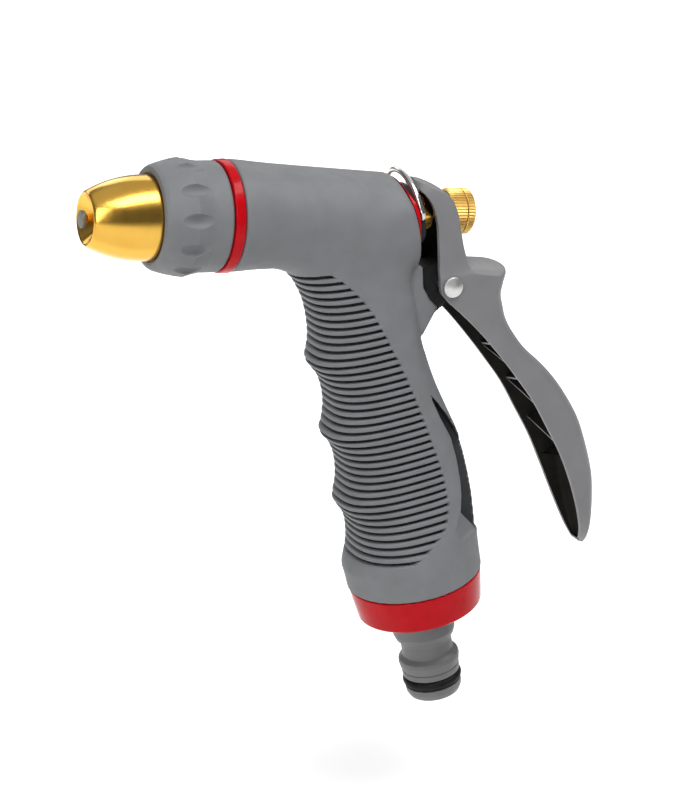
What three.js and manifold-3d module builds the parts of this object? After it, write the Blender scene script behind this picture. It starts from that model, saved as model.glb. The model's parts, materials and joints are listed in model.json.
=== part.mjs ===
// Hose spray nozzle: pistol grip, squeeze trigger behind the handle, twist collar with a brass tip,
// and a quick-connect spigot for the hose. Millimetres, +Z up, the spray leaves along -X.
// The design frame has x = 0 on the tip's rim and z = 0 on the barrel's axis; the exported group
// has its origin at the centre of the spigot's end face, where the hose coupling seats.
import * as THREE from 'three';
import Module from 'manifold-3d';
import { mergeVertices } from 'three/addons/utils/BufferGeometryUtils.js';

const wasm = await Module();
wasm.setup();

// ---- driving dimensions -------------------------------------------------------------------
const GAP = 0.3; // clearance between pieces that touch or slide
const ROUND = 28; // segments round a turned piece
const FINE = 18; // segments round a small piece

const TIP_RIM_R = 7.08;
const TIP_END_X = 17.4; // rear edge of the tip's bullet-shaped nose
const TIP_END_R = 11.2;
const SKIRT_R = 9.4; // threaded skirt behind the nose
const SKIRT_END_X = 34;
const ORIFICE_R = 3;

const COLLAR_END_X = 35.3;
const COLLAR_CREST_X = 25.5;
const COLLAR_CREST_R = 15.5;
const DIMPLES = 12;

const TRIM_X = 35.6;
const TRIM_LENGTH = 2.7;
const TRIM_R = 14.85;

const BARREL_X = TRIM_X + TRIM_LENGTH + GAP; // front edge of the grip cover
const CORE_R = 11.6; // metal barrel inside the cover
const BORE_R = 8.2; // water chamber
const BORE_STEP_X = 46; // the chamber narrows here, since the barrel's top slopes down to the rear
const BORE_REAR_R = 6.2;
const BORE_END_X = 80;

const RAKE = THREE.MathUtils.degToRad(15.5); // lean of the handle from the vertical
const HANDLE_X = 74.1; // where the handle's axis meets the barrel's axis
const REAR_XI = 13.3; // flat rear face, parallel to the handle's axis
const REAR_S = 4.9; // middle of the oval boss and ring on the rear face
const REAR_SQUASH = 0.87; // height of those ovals over their width
const HANDLE_END = 107.6; // foot of the grip cover, along the handle's axis
const COVER_WALL = 2.6;
const BARREL_WALL = 2.8; // the cover is a little thicker round the barrel
const LOFT_STEP = 3.5; // distance between the grip's sections
const FOOT_R = 19;
const FOOT_CORE_R = 15.5;

const RING_TOP_R = 18.8;
const RING_END_R = 17.4;
const RING_END = 117.6;
const INLET = 146; // end face of the spigot, along the handle's axis
const SPIGOT_BORE_R = 4.2;
const ORING_S = 140.4;
const ORING_R = 7.1; // to the middle of the ring's section
const ORING_WIRE_R = 1.3;

const STEM_R = 1.6;
const GLAND_R = 4.6;
const KNOB_R = 6.2;
const KNOB_X = 101.8;
const LOCK_NUT_X = 106.4;
const STEM_END_X = 108.6;

const PIVOT = new THREE.Vector2(101.6, -18.6); // x and z of the trigger's pin
const PIN_R = 2;
const LUG_HALF = 4.5;
const WALL = 2.2; // trigger wall

const WIRE_R = 0.8;
const WIRE_ARCH_R = 11.1;
const WIRE_PIVOT = new THREE.Vector2(90.3, 0.7); // x and z of the lock wire's ends

// ---- frames -------------------------------------------------------------------------------
// Handle frame: +X to the rear of the grip (xi), +Z up the handle, origin on the barrel's axis.
const handleMatrix = new THREE.Matrix4()
  .makeRotationY(-RAKE)
  .setPosition(HANDLE_X, 0, 0);
const inletPoint = new THREE.Vector3(0, 0, -INLET).applyMatrix4(handleMatrix);

// ---- solids -------------------------------------------------------------------------------
function signedVolume(position, index) {
  const [a, b, c] = [new THREE.Vector3(), new THREE.Vector3(), new THREE.Vector3()];
  let sum = 0;
  for (let i = 0; i < index.length; i += 3) {
    a.fromArray(position, index[i] * 3);
    b.fromArray(position, index[i + 1] * 3);
    c.fromArray(position, index[i + 2] * 3);
    sum += a.dot(b.cross(c));
  }
  return sum;
}

// Closed solid from any closed three.js geometry, with its faces turned outward.
function solid(geometry) {
  const bare = geometry.clone();
  bare.deleteAttribute('normal');
  bare.deleteAttribute('uv');
  const merged = mergeVertices(bare, 1e-4);
  const position = merged.attributes.position.array;
  const kept = [];
  for (let i = 0; i < merged.index.count; i += 3) {
    const [a, b, c] = [0, 1, 2].map((k) => merged.index.getX(i + k));
    if (a !== b && b !== c && c !== a) kept.push(a, b, c);
  }
  if (signedVolume(position, kept) < 0) kept.reverse();
  const vertProperties = new Float32Array(position);
  return new wasm.Manifold(new wasm.Mesh({ numProp: 3, vertProperties, triVerts: new Uint32Array(kept) }));
}

function geometryOf(body) {
  const mesh = body.getMesh();
  const geometry = new THREE.BufferGeometry();
  geometry.setAttribute('position', new THREE.BufferAttribute(mesh.vertProperties, 3));
  geometry.setIndex(new THREE.BufferAttribute(mesh.triVerts, 1));
  return geometry;
}

const cut = (body, ...tools) => tools.reduce((rest, tool) => rest.subtract(tool), body);
const join = (...bodies) => bodies.reduce((sum, body) => sum.add(body));
const common = (...bodies) => bodies.reduce((rest, body) => rest.intersect(body));
const place = (geometry, matrix) => solid(geometry.applyMatrix4(matrix));

// Closed geometry through sections, each a list of the same number of Vector3 points.
function loft(sections) {
  const position = [];
  const index = [];
  const count = sections[0].length;
  sections.forEach((section, i) => {
    section.forEach((point, k) => {
      position.push(...point.toArray());
      const after = (k + 1) % count;
      if (i) {
        const [a, b] = [(i - 1) * count + k, (i - 1) * count + after];
        index.push(a, a + count, b, b, a + count, b + count);
      }
    });
  });
  for (const [section, start] of [[sections[0], 0], [sections.at(-1), (sections.length - 1) * count]]) {
    const middle = section.reduce((sum, point) => sum.add(point), new THREE.Vector3()).divideScalar(count);
    const hub = position.length / 3;
    position.push(...middle.toArray());
    for (let k = 0; k < count; k += 1) {
      const pair = [start + k, start + ((k + 1) % count)];
      index.push(hub, ...(start ? pair.reverse() : pair));
    }
  }
  const geometry = new THREE.BufferGeometry();
  geometry.setAttribute('position', new THREE.Float32BufferAttribute(position, 3));
  geometry.setIndex(index);
  return geometry;
}

// Turned round the X axis from [x, radius] points; a ring's points close on themselves.
function turnedGeometry(profile, segments) {
  const points = profile.map(([x, r]) => new THREE.Vector2(r, x));
  return new THREE.LatheGeometry(points, segments).rotateZ(-Math.PI / 2);
}
const turned = (profile, segments = ROUND) => solid(turnedGeometry(profile, segments));
const rod = (x0, x1, r, segments = ROUND) => turned([[x0, 0], [x0, r], [x1, r], [x1, 0]], segments);
const ring = (x0, x1, inner, outer, segments = ROUND) =>
  turned([[x0, inner], [x0, outer], [x1, outer], [x1, inner], [x0, inner]], segments);

// Turned round the handle's axis from [distance down the handle, radius] points.
function downHandle(profile, segments = ROUND) {
  const points = profile.map(([s, r]) => new THREE.Vector2(r, s));
  return new THREE.LatheGeometry(points, segments).rotateX(-Math.PI / 2);
}

// Cylinder along Y through x, z.
function crossRod(x, z, y0, y1, r, segments = FINE) {
  const geometry = new THREE.CylinderGeometry(r, r, y1 - y0, segments);
  return geometry.translate(x, (y0 + y1) / 2, z);
}

// Smooth outline through [a, b] points, as a list of Vector2.
function curve(points, steps) {
  const list = points.map(([a, b]) => new THREE.Vector2(a, b));
  return new THREE.SplineCurve(list).getPoints(steps);
}

// Oval standing on the rear face, from [xi, half width] points.
const onRear = (profile) =>
  turnedGeometry(profile, ROUND).scale(1, 1, REAR_SQUASH).translate(0, 0, -REAR_S);

// Slab of an x, z outline between y = -half and y = half.
function sideSlab(outline, half) {
  const shape = new THREE.Shape(outline);
  const geometry = new THREE.ExtrudeGeometry(shape, { depth: 2 * half, bevelEnabled: false });
  return geometry.rotateX(Math.PI / 2).translate(0, half, 0);
}

// Slab of a y, z outline along X.
function frontSlab(outline, x0, x1) {
  const shape = new THREE.Shape(outline);
  const geometry = new THREE.ExtrudeGeometry(shape, { depth: x1 - x0, bevelEnabled: false });
  const swap = new THREE.Matrix4().set(0, 0, 1, x0, 1, 0, 0, 0, 0, 1, 0, 0, 0, 0, 0, 1);
  return geometry.applyMatrix4(swap);
}

// Value at t on straight lines between [t, value] keys.
function between(keys, t) {
  const next = keys.findIndex(([at]) => at > t);
  if (next === 0) return keys[0][1];
  if (next < 0) return keys[keys.length - 1][1];
  const [[t0, v0], [t1, v1]] = [keys[next - 1], keys[next]];
  const share = (t - t0) / (t1 - t0);
  return v0 + (v1 - v0) * share;
}

// ---- grip: sections of the handle and of the barrel ------------------------------------------
// Reach of the handle's surface behind and before its axis, and its half width, down the axis.
const GRIP_BACK = [[6, 12.9], [36, 12.1], [44, 12.9], [52, 14.3], [60, 16.3], [68, 18.4], [76, 19.6], [86, 20.1],
  [100, 19.4], [HANDLE_END, FOOT_R]];
const GRIP_FRONT = [[3, 29], [8, 23.7], [12, 19.7], [16, 17.95], [20, 16.9], [26, 16.5], [31, 17.05], [34.5, 18.2],
  [37, 19], [39.5, 18.1], [42.5, 16.7], [48, 15.9], [52.5, 16.4], [56, 17.6], [58.7, 18.7], [61, 17.7],
  [64.5, 16.3], [69, 15.9], [74, 16.6], [77.5, 17.9], [79.7, 18.5], [82, 17.5], [85, 16.3], [88.5, 16], [93, 16.5],
  [96.5, 17.8], [99.5, 19.4], [102.5, 19.4], [HANDLE_END, FOOT_R]];
const GRIP_HALF = [[6, 11], [20, 12.4], [60, 12.9], [82, 13.4], [92, 15.4], [100, 17.8],
  [HANDLE_END, FOOT_R]];
const GRIP_POWER = [[82, 2.6], [100, 2]];

// Handle with its surface moved in by inset, in the handle frame.
function gripLoft(inset, top, end, sides = 24, step = LOFT_STEP) {
  const stations = Math.round((end - top) / step) + 1;
  const sections = [];
  for (let i = 0; i < stations; i += 1) {
    const s = top + ((end - top) * i) / (stations - 1);
    const power = 2 / between(GRIP_POWER, s);
    const section = [];
    for (let k = 0; k < sides; k += 1) {
      const angle = (2 * Math.PI * k) / sides;
      const [c, d] = [Math.cos(angle), Math.sin(angle)];
      const depth = between(c > 0 ? GRIP_BACK : GRIP_FRONT, s) - inset;
      const half = between(GRIP_HALF, s) - inset;
      section.push(new THREE.Vector3(Math.sign(c) * Math.abs(c) ** power * depth,
        Math.sign(d) * Math.abs(d) ** power * half, -s));
    }
    sections.push(section);
  }
  return place(loft(sections), handleMatrix);
}

// Barrel along x: height above its axis, depth below it, half width. The top slopes to the rear.
const BARREL = [[BARREL_X, 14.5, 14.2, 14.4], [BARREL_X + 0.5, 14.85, 14.55, 14.75], [46, 14.1, 14.15, 14.2],
  [52, 13.45, 14, 14.1], [71, 11.75, 13.3, 14.1], [100, 9.3, 12.6, 14.1]];

function barrelLoft(inset, start = BARREL_X) {
  const sections = BARREL.map(([x, top, bottom, half], i) => {
    const [middle, height] = [(top - bottom) / 2, (top + bottom) / 2 - inset];
    const section = [];
    for (let k = 0; k < ROUND; k += 1) {
      const angle = (2 * Math.PI * k) / ROUND;
      const [y, z] = [(half - inset) * Math.sin(angle), middle + height * Math.cos(angle)];
      section.push(new THREE.Vector3(i ? x : start, y, z));
    }
    return section;
  });
  return common(solid(loft(sections)), frontOf(REAR_XI - (inset ? GAP : 0)));
}

// Everything in front of a plane parallel to the handle's axis.
function frontOf(xi) {
  const reach = 200;
  const geometry = new THREE.BoxGeometry(reach, reach, 2 * reach).translate(xi - reach / 2, 0, 0);
  return place(geometry, handleMatrix);
}

// Leaf-shaped side pockets of the grip, as [xi, -s] outline from the upper point.
const POCKET = [[9.2, -52.5], [9.8, -60], [11.1, -70], [12.3, -80], [11.8, -90], [8.5, -96], [16.5, -96],
  [18.2, -93], [18.6, -84], [17.6, -76], [15.4, -68], [12.9, -61]];
const POCKET_WEB = 3.2; // half thickness of the metal left between the two pockets

function pockets() {
  const outline = POCKET.map(([xi, z]) => new THREE.Vector2(xi, z));
  const depth = 20;
  const slab = () => sideSlab(outline, depth / 2);
  const near = slab().translate(0, -POCKET_WEB - depth / 2, 0);
  const far = slab().translate(0, POCKET_WEB + depth / 2, 0);
  return join(place(near, handleMatrix), place(far, handleMatrix));
}

// Rear lug that carries the trigger's pin, grown by a margin.
function lug(margin) {
  const pivot = new THREE.Vector3(PIVOT.x, 0, PIVOT.y).applyMatrix4(handleMatrix.clone().invert());
  const r = 5.3 + margin;
  const outline = [new THREE.Vector2(6, -18.6 + margin), new THREE.Vector2(pivot.x - 1, pivot.z + r)];
  for (let i = 0; i <= 10; i += 1) {
    const angle = Math.PI / 2 - (i / 10) * Math.PI * 0.86;
    outline.push(new THREE.Vector2(pivot.x + r * Math.cos(angle), pivot.z + r * Math.sin(angle)));
  }
  outline.push(new THREE.Vector2(13, -35 - margin), new THREE.Vector2(6, -35 - margin));
  return place(sideSlab(outline, LUG_HALF + margin), handleMatrix);
}

// ---- body ----------------------------------------------------------------------------------
function bodyCore() {
  const inset = COVER_WALL + 2 * GAP;
  const barrel = join(rod(25.1, BARREL_X + 1, CORE_R), barrelLoft(BARREL_WALL + GAP));
  const boss = place(onRear([[9.5, 0], [9.5, 9.8], [17.2, 9.8], [17.2, 0]]), handleMatrix);
  const handle = gripLoft(inset, 10, HANDLE_END - 0.5, 20, 2 * LOFT_STEP);
  const foot = place(downHandle([[100, 0], [100, FOOT_CORE_R - 1.2], [107, FOOT_CORE_R],
    [116.8, FOOT_CORE_R], [116.8, 0]]), handleMatrix);
  const metal = join(barrel, boss, handle, foot, lug(0));
  const water = [[0, 0], [0, 5], [106, 5], [106, 8], [120, 8], [120, 0]];
  const channel = place(downHandle(water, FINE), handleMatrix);
  const wireHole = solid(crossRod(WIRE_PIVOT.x, WIRE_PIVOT.y, -14, 14, WIRE_R + GAP, 16));
  const wireHoles = cut(wireHole, rod(85, 96, 7.4));
  const pinHole = solid(crossRod(PIVOT.x, PIVOT.y, -10, 10, PIN_R + GAP));
  const bores = join(rod(20, 38, SKIRT_R + 0.4), rod(30, BORE_STEP_X, BORE_R),
    rod(40, BORE_END_X, BORE_REAR_R), rod(70, 100, STEM_R + 0.5, FINE), rod(87, 100, GLAND_R + GAP, FINE));
  return cut(metal, bores, channel, wireHoles, pinHole, pockets());
}

function gripCover() {
  const gusset = [[6, -17], [REAR_XI, -17], [15.2, -18.2], [14.4, -24], [15.6, -27.7], [17.5, -30.6], [11.9, -37],
    [6, -37]].map(([xi, z]) => new THREE.Vector2(xi, z));
  const outer = join(barrelLoft(0), gripLoft(0, 3.9, HANDLE_END), place(sideSlab(gusset, 7.4), handleMatrix));
  const rearOpening = place(onRear([[9, 0], [9, 10.1], [20, 10.1], [20, 0]]), handleMatrix);
  const inner = join(barrelLoft(BARREL_WALL, BARREL_X - 5), rearOpening,
    gripLoft(COVER_WALL, 7.9, HANDLE_END + 4, 20), lug(GAP));
  return cut(outer, inner, pockets());
}

const frontTrimRing = () => turned([[TRIM_X, CORE_R + GAP], [TRIM_X, TRIM_R - 0.3], [TRIM_X + 0.3, TRIM_R],
  [TRIM_X + TRIM_LENGTH - 0.3, TRIM_R + 0.1], [TRIM_X + TRIM_LENGTH, TRIM_R - 0.2],
  [TRIM_X + TRIM_LENGTH, CORE_R + GAP], [TRIM_X, CORE_R + GAP]]);

function rearTrimRing() {
  const [x0, x1] = [REAR_XI + GAP, REAR_XI + GAP + 1.1];
  return onRear([[x0, 10.95], [x0, 13], [x0 + 0.7, 13], [x1, 12.5], [x1, 10.95], [x0, 10.95]]);
}

const baseRing = () => downHandle([[HANDLE_END + GAP, FOOT_CORE_R + GAP], [HANDLE_END + GAP, RING_TOP_R - 0.4],
  [HANDLE_END + 0.8, RING_TOP_R], [RING_END - 0.3, RING_END_R + 0.1], [RING_END, RING_END_R - 0.3],
  [RING_END, FOOT_CORE_R + GAP], [HANDLE_END + GAP, FOOT_CORE_R + GAP]]);

// ---- spray head ----------------------------------------------------------------------------
// Turned section: rear lip over the tip, swelling to a crest, straight to the trim ring.
const COLLAR = [[17.2, 11.6], [17, 12.3], [17.3, 13.2], [18.3, 13.8], [21, 14.6], [23.5, 15.25],
  [COLLAR_CREST_X, COLLAR_CREST_R], [27.6, 14.95], [30, 14.5], [35, 14.5], [COLLAR_END_X, 14.3],
  [COLLAR_END_X, CORE_R + GAP], [24.8, CORE_R + GAP], [24.8, SKIRT_R + GAP], [18.2, SKIRT_R + GAP],
  [17.8, 11.6], [17.2, 11.6]];

function adjustCollar() {
  let body = turned(COLLAR, 3 * DIMPLES);
  const dimple = new THREE.SphereGeometry(1, 8, 6).scale(4.3, 2, 1.1);
  for (let i = 0; i < DIMPLES; i += 1) {
    const tool = dimple.clone().translate(COLLAR_CREST_X, 0, COLLAR_CREST_R);
    body = cut(body, solid(tool.rotateX((2 * Math.PI * (i + 0.687)) / DIMPLES)));
  }
  return body;
}

// Radius of the tip's nose at x: an ogive from the rim to the collar.
const noseRadius = (x) => TIP_RIM_R + (TIP_END_R - TIP_RIM_R) * (1 - (1 - x / TIP_END_X) ** 2.3);

function nozzleTip() {
  const nose = [0, 0.25, 1.7, 3.6, 5.6, 8, 11, 14, TIP_END_X].map((x) => [x, noseRadius(x) - (x ? 0 : 0.2)]);
  return turned([...nose, [TIP_END_X, SKIRT_R], [29.4, SKIRT_R], [29.4, 7.9], [31.4, 7.9], [31.4, SKIRT_R],
    [SKIRT_END_X, SKIRT_R], [SKIRT_END_X, 6.9], [9.1, 6.9], [5.2, ORIFICE_R], [3.8, ORIFICE_R], [0.3, 6.4],
    nose[0]], 32);
}

const tipOring = () => ring(29.7, 31.1, 8.2, 9.5, FINE);

const valveStem = () => turned([[-1.3, 0], [-1.3, 2.2], [-1.1, 2.33], [-0.4, 2.33], [0.2, 1.4], [6, 1.4],
  [6, 1.7], [8.9, 1.7], [8.9, 5.2], [10.4, 5.2], [10.4, 2.2], [58, 2.2], [58, 5], [60, 5], [60, STEM_R],
  [STEM_END_X, STEM_R], [STEM_END_X, 0]], FINE);

const valveWasher = () => turned([[6.3, 2], [6.3, 3.6], [8.3, 5.6], [8.6, 5.6], [8.6, 2], [6.3, 2]], FINE);

function stemGuide() {
  let body = ring(39.5, 42.5, 2.5, BORE_R - GAP);
  for (let i = 0; i < 4; i += 1) {
    const hole = new THREE.CylinderGeometry(1.9, 1.9, 8, 16).rotateZ(Math.PI / 2).translate(41, 0, 5.2);
    body = cut(body, solid(hole.rotateX((Math.PI * i) / 2)));
  }
  return body;
}

// Compression spring between the stem's shoulder and the chamber's rear wall.
function returnSpring() {
  const [x0, x1, r, turns] = [61.3, 78.8, 4.4, 4.5];
  class Helix extends THREE.Curve {
    getPoint(t, target = new THREE.Vector3()) {
      const angle = 2 * Math.PI * turns * t;
      return target.set(x0 + (x1 - x0) * t, r * Math.cos(angle), r * Math.sin(angle));
    }
  }
  const section = new THREE.Shape().absarc(0, 0, 0.6, 0, 2 * Math.PI);
  const options = { steps: turns * 12, curveSegments: 3, extrudePath: new Helix() };
  return solid(new THREE.ExtrudeGeometry(section, options));
}

const glandSeal = () => ring(87.3, 89.3, STEM_R + GAP, GLAND_R, FINE);

function glandNut() {
  const head = turned([[94, 0], [94, 5.1], [96, 5.1], [96.4, 4.7], [96.4, 0]], 6);
  return cut(join(rod(89.6, 94.5, GLAND_R, FINE), head), rod(80, 100, STEM_R + GAP, FINE));
}

// Knurled nut: a gear-like outline of fine teeth with a threaded bore.
function knurledNut(x0, x1) {
  const teeth = 20;
  const outline = [];
  for (let i = 0; i < 2 * teeth; i += 1) {
    const r = i % 2 ? KNOB_R - 0.35 : KNOB_R;
    const angle = (Math.PI * i) / teeth;
    outline.push(new THREE.Vector2(r * Math.cos(angle), r * Math.sin(angle)));
  }
  const blank = solid(frontSlab(outline, x0, x1));
  const edge = turned([[x0, 0], [x0, KNOB_R - 0.4], [x0 + 0.4, KNOB_R], [x1 - 0.4, KNOB_R], [x1, KNOB_R - 0.4],
    [x1, 0]]);
  return cut(common(blank, edge), rod(x0 - 1, x1 + 1, STEM_R + GAP, FINE));
}

// ---- trigger -------------------------------------------------------------------------------
// Sections from the hood's nose to the paddle's tip: front rim x, z; back x, z; half width; how far the
// sides curve in from the back; how far they drop.
const TRIGGER = [
  [91, 8.3, 91.4, 9.4, 1.8, 0.3, 0], [91.6, 7.3, 93, 9.2, 4.2, 0.8, 0], [93, 5.9, 95.5, 8.5, 5.9, 1, 0],
  [94.6, 3.8, 98.4, 7.2, 6.9, 1, 0], [95.8, 1, 101, 5.2, 7.4, 1, 0], [96.8, -2.5, 102.9, 1.9, 7.6, 1, 0],
  [97.5, -7, 104.3, -2.8, 7.6, 1, 0], [98, -11.5, 105.6, -7.5, 7.7, 1, 0], [98.1, -14, 106.9, -11.4, 8, 1, 0],
  [98.1, -15.5, 107.8, -13.2, 8.6, 1.5, 0.8], [98.1, -16.8, 110.5, -13.9, 9.2, 2.5, 1.6],
  [98.1, -18, 115, -14.4, 9.4, 3.5, 2], [98.2, -19, 119.6, -14.9, 9.5, 4.8, 2], [98.5, -20, 121, -16, 9.5, 5.3, 1.6],
  [99.2, -21.2, 120.6, -18.6, 9.5, 5.3, 0], [101.5, -23.3, 120, -21.8, 9.5, 5.3, 0],
  [105.5, -26.5, 120.5, -25.2, 9.5, 5.3, 0], [110, -30.4, 121.7, -28.8, 9.8, 5.2, 0],
  [114.5, -34.8, 124.2, -32.8, 10.2, 5, 0], [119.6, -40.2, 128.7, -38, 10.5, 4.8, 0],
  [124.7, -46, 135.2, -43.4, 10.5, 4.5, 0], [129.7, -52, 140.8, -49.2, 10.5, 4.5, 0],
  [135, -60, 146.8, -57.6, 10.5, 4.5, 0], [140.2, -68.1, 150.8, -66.4, 10.3, 4.5, 0],
  [144.4, -76.2, 153.7, -75, 9.8, 4.2, 0], [148, -84, 155.2, -83.4, 8.7, 3.8, 0],
  [151, -91, 155.9, -90.8, 6.7, 2.6, 0], [152.6, -95, 156, -95.4, 4.5, 1.8, 0],
  [153.6, -97.4, 155.6, -97.9, 2.2, 0.8, 0]];
const HOLLOW_START = 2; // first and last sections that are hollow
const HOLLOW_END = 26;

// One section with its walls moved in by inset and its front carried forward by open.
function triggerSection([fx, fz, bx, bz, half, curl, drop], inset, open) {
  const forward = new THREE.Vector3(fx - bx, 0, fz - bz).normalize();
  const front = new THREE.Vector3(fx, 0, fz).addScaledVector(forward, open);
  const back = new THREE.Vector3(bx, 0, bz).addScaledVector(forward, inset);
  const width = half - inset;
  const down = new THREE.Vector3(0, 0, -drop);
  const points = [front.clone().setY(-width)];
  for (const u of [-1, -0.92, -0.7, -0.4, 0, 0.4, 0.7, 0.92, 1]) {
    const bend = (curl * (1 - Math.sqrt(1 - u * u)) * width) / half;
    points.push(back.clone().addScaledVector(forward, bend).addScaledVector(down, u * u).setY(u * width));
  }
  points.push(front.setY(width));
  return points;
}

// Zig-zag stiffening webs across the paddle's channel.
function webs(envelope) {
  const start = new THREE.Vector2(119, -36);
  const run = new THREE.Vector2(29, -48);
  const count = 6;
  const slope = Math.atan2(run.y, run.x);
  const pitch = run.length() / count;
  const across = 20;
  const plates = [];
  for (let i = 0; i < count; i += 1) {
    const lean = (i % 2 ? 1 : -1) * Math.atan2(pitch, across);
    const middle = start.clone().addScaledVector(run, (i + 0.5) / count);
    const plate = new THREE.BoxGeometry(1.3, Math.hypot(across, pitch), 44).rotateZ(lean);
    plates.push(solid(plate.rotateY(-slope).translate(middle.x, 0, middle.y)));
  }
  return common(join(...plates), envelope, envelope.translate([2.6, 0, 1.2]));
}

function trigger() {
  const envelope = solid(loft(TRIGGER.map((section) => triggerSection(section, 0, 0))));
  const hollow = solid(loft(TRIGGER.slice(HOLLOW_START, HOLLOW_END + 1)
    .map((section) => triggerSection(section, WALL, 3))));
  const slot = solid(new THREE.BoxGeometry(20, 5, 8.4).translate(103, 0, 0.3));
  const pinHole = solid(crossRod(PIVOT.x, PIVOT.y, -12, 12, PIN_R + GAP));
  const spotFace = rod(KNOB_X - GAP, 112, KNOB_R + 0.6);
  return cut(join(cut(envelope, hollow), webs(envelope)), slot, spotFace, pinHole);
}

// ---- pin, clip and lock wire ----------------------------------------------------------------
const PIN_FACE = 9.4 + GAP; // where the pin's head and clip bear on the trigger's walls

function pivotPin() {
  const profile = [[-PIN_FACE - 1.6, 0], [-PIN_FACE - 1.4, 1.2], [-PIN_FACE - 0.6, 2.7], [-PIN_FACE, 2.9],
    [-PIN_FACE, PIN_R], [PIN_FACE + 1.8, PIN_R], [PIN_FACE + 1.8, 0]];
  return turnedGeometry(profile, FINE).rotateZ(Math.PI / 2);
}

const pinClip = () => turnedGeometry([[PIN_FACE, PIN_R + GAP], [PIN_FACE, 3.4], [PIN_FACE + 0.9, 3.4],
  [PIN_FACE + 0.9, PIN_R + GAP], [PIN_FACE, PIN_R + GAP]], FINE).rotateZ(Math.PI / 2);

// Half-circle arch in the plane of the rear face, with both ends turned in towards the axis.
function lockWire() {
  const points = [[8, 0]];
  const bend = 1.4;
  points.push([WIRE_ARCH_R - bend, 0], [WIRE_ARCH_R - bend * 0.3, bend * 0.3]);
  for (let i = 1; i < 12; i += 1) {
    const angle = (Math.PI * (i + 0.5)) / 13;
    points.push([WIRE_ARCH_R * Math.cos(angle), WIRE_ARCH_R * Math.sin(angle)]);
  }
  points.push([-WIRE_ARCH_R + bend * 0.3, bend * 0.3], [-WIRE_ARCH_R + bend, 0], [-8, 0]);
  const lean = (h) => [WIRE_PIVOT.x - h * Math.sin(RAKE), WIRE_PIVOT.y + h * Math.cos(RAKE)];
  const bends = points.map(([y, h]) => new THREE.Vector3(lean(h)[0], y, lean(h)[1]));
  const path = new THREE.CatmullRomCurve3(bends, false, 'centripetal');
  const section = new THREE.Shape().absarc(0, 0, WIRE_R, 0, 2 * Math.PI);
  return solid(new THREE.ExtrudeGeometry(section, { steps: 34, curveSegments: 4, extrudePath: path }));
}

// ---- hose connection ------------------------------------------------------------------------
const hoseConnector = () => downHandle([[108.6, SPIGOT_BORE_R], [108.6, 7.7], [118, 7.7], [118, 8.8],
  [125.2, 8.8], [127, 8.3], [128.2, 7.2], [131.6, 7.2], [133.4, 8.6], [134.6, 8.6], [137, 8.15], [138.8, 8.1],
  [138.8, 5.5], [142, 5.5], [142, 8], [143.6, 7.9], [144.9, 7.2], [INLET, 5.9], [INLET, SPIGOT_BORE_R],
  [108.6, SPIGOT_BORE_R]]);

function connectorOring() {
  const sides = 8;
  const profile = [];
  for (let i = 0; i <= sides; i += 1) {
    const angle = (2 * Math.PI * i) / sides;
    profile.push([ORING_S - ORING_WIRE_R * Math.cos(angle), ORING_R + ORING_WIRE_R * Math.sin(angle)]);
  }
  return downHandle(profile);
}

const inletWasher = () =>
  downHandle([[106.3, 4.8], [106.3, 7.6], [108.3, 7.6], [108.3, 4.8], [106.3, 4.8]], FINE);

// ---- materials ------------------------------------------------------------------------------
const finish = (color, roughness, metalness = 0) =>
  new THREE.MeshStandardMaterial({ color, roughness, metalness });
const rubberGrey = finish(0x7d7f82, 0.75);
const plasticGrey = finish(0x828286, 0.45);
const castBlack = finish(0x1b1b1d, 0.5);
const glossRed = finish(0xc81a24, 0.2);
const brass = finish(0xd8a63a, 0.25, 1);
const steel = finish(0xc9cbcc, 0.2, 1);
const sealBlack = finish(0x141414, 0.55);

// ---- assembly -------------------------------------------------------------------------------
function piece(name, shape, material, parent) {
  const body = shape.isBufferGeometry ? solid(shape) : shape;
  const mesh = new THREE.Mesh(geometryOf(body), material);
  mesh.name = name;
  parent.add(mesh);
}

const group = new THREE.Group();
const gun = new THREE.Group();
gun.position.copy(inletPoint).negate();
group.add(gun);

const handle = new THREE.Group();
handle.position.x = HANDLE_X;
handle.rotation.y = -RAKE;
gun.add(handle);

const pivot = new THREE.Group();
pivot.position.set(PIVOT.x, 0, PIVOT.y);
gun.add(pivot);

piece('body_core', bodyCore(), castBlack, gun);
piece('grip_cover', gripCover(), rubberGrey, gun);
piece('front_trim_ring', frontTrimRing(), glossRed, gun);
piece('rear_trim_ring', rearTrimRing(), glossRed, handle);
piece('base_ring', baseRing(), glossRed, handle);
piece('adjust_collar', adjustCollar(), rubberGrey, gun);
piece('nozzle_tip', nozzleTip(), brass, gun);
piece('tip_oring', tipOring(), sealBlack, gun);
piece('valve_stem', valveStem(), steel, gun);
piece('valve_washer', valveWasher(), sealBlack, gun);
piece('stem_guide', stemGuide(), brass, gun);
piece('return_spring', returnSpring(), steel, gun);
piece('gland_seal', glandSeal(), sealBlack, gun);
piece('gland_nut', glandNut(), brass, gun);
piece('flow_nut', knurledNut(KNOB_X, LOCK_NUT_X - GAP), brass, gun);
piece('lock_nut', knurledNut(LOCK_NUT_X, STEM_END_X), brass, gun);
piece('trigger', trigger(), plasticGrey, gun);
piece('pivot_pin', pivotPin(), steel, pivot);
piece('pin_clip', pinClip(), steel, pivot);
piece('lock_wire', lockWire(), steel, gun);
piece('hose_connector', hoseConnector(), plasticGrey, handle);
piece('connector_oring', connectorOring(), sealBlack, handle);
piece('inlet_washer', inletWasher(), sealBlack, handle);

export default group;
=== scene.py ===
# Hose spray nozzle: the looks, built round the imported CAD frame.
import json
import math
import bpy
import numpy as np
from mathutils import Matrix, Vector
from mathutils.bvhtree import BVHTree


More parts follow.
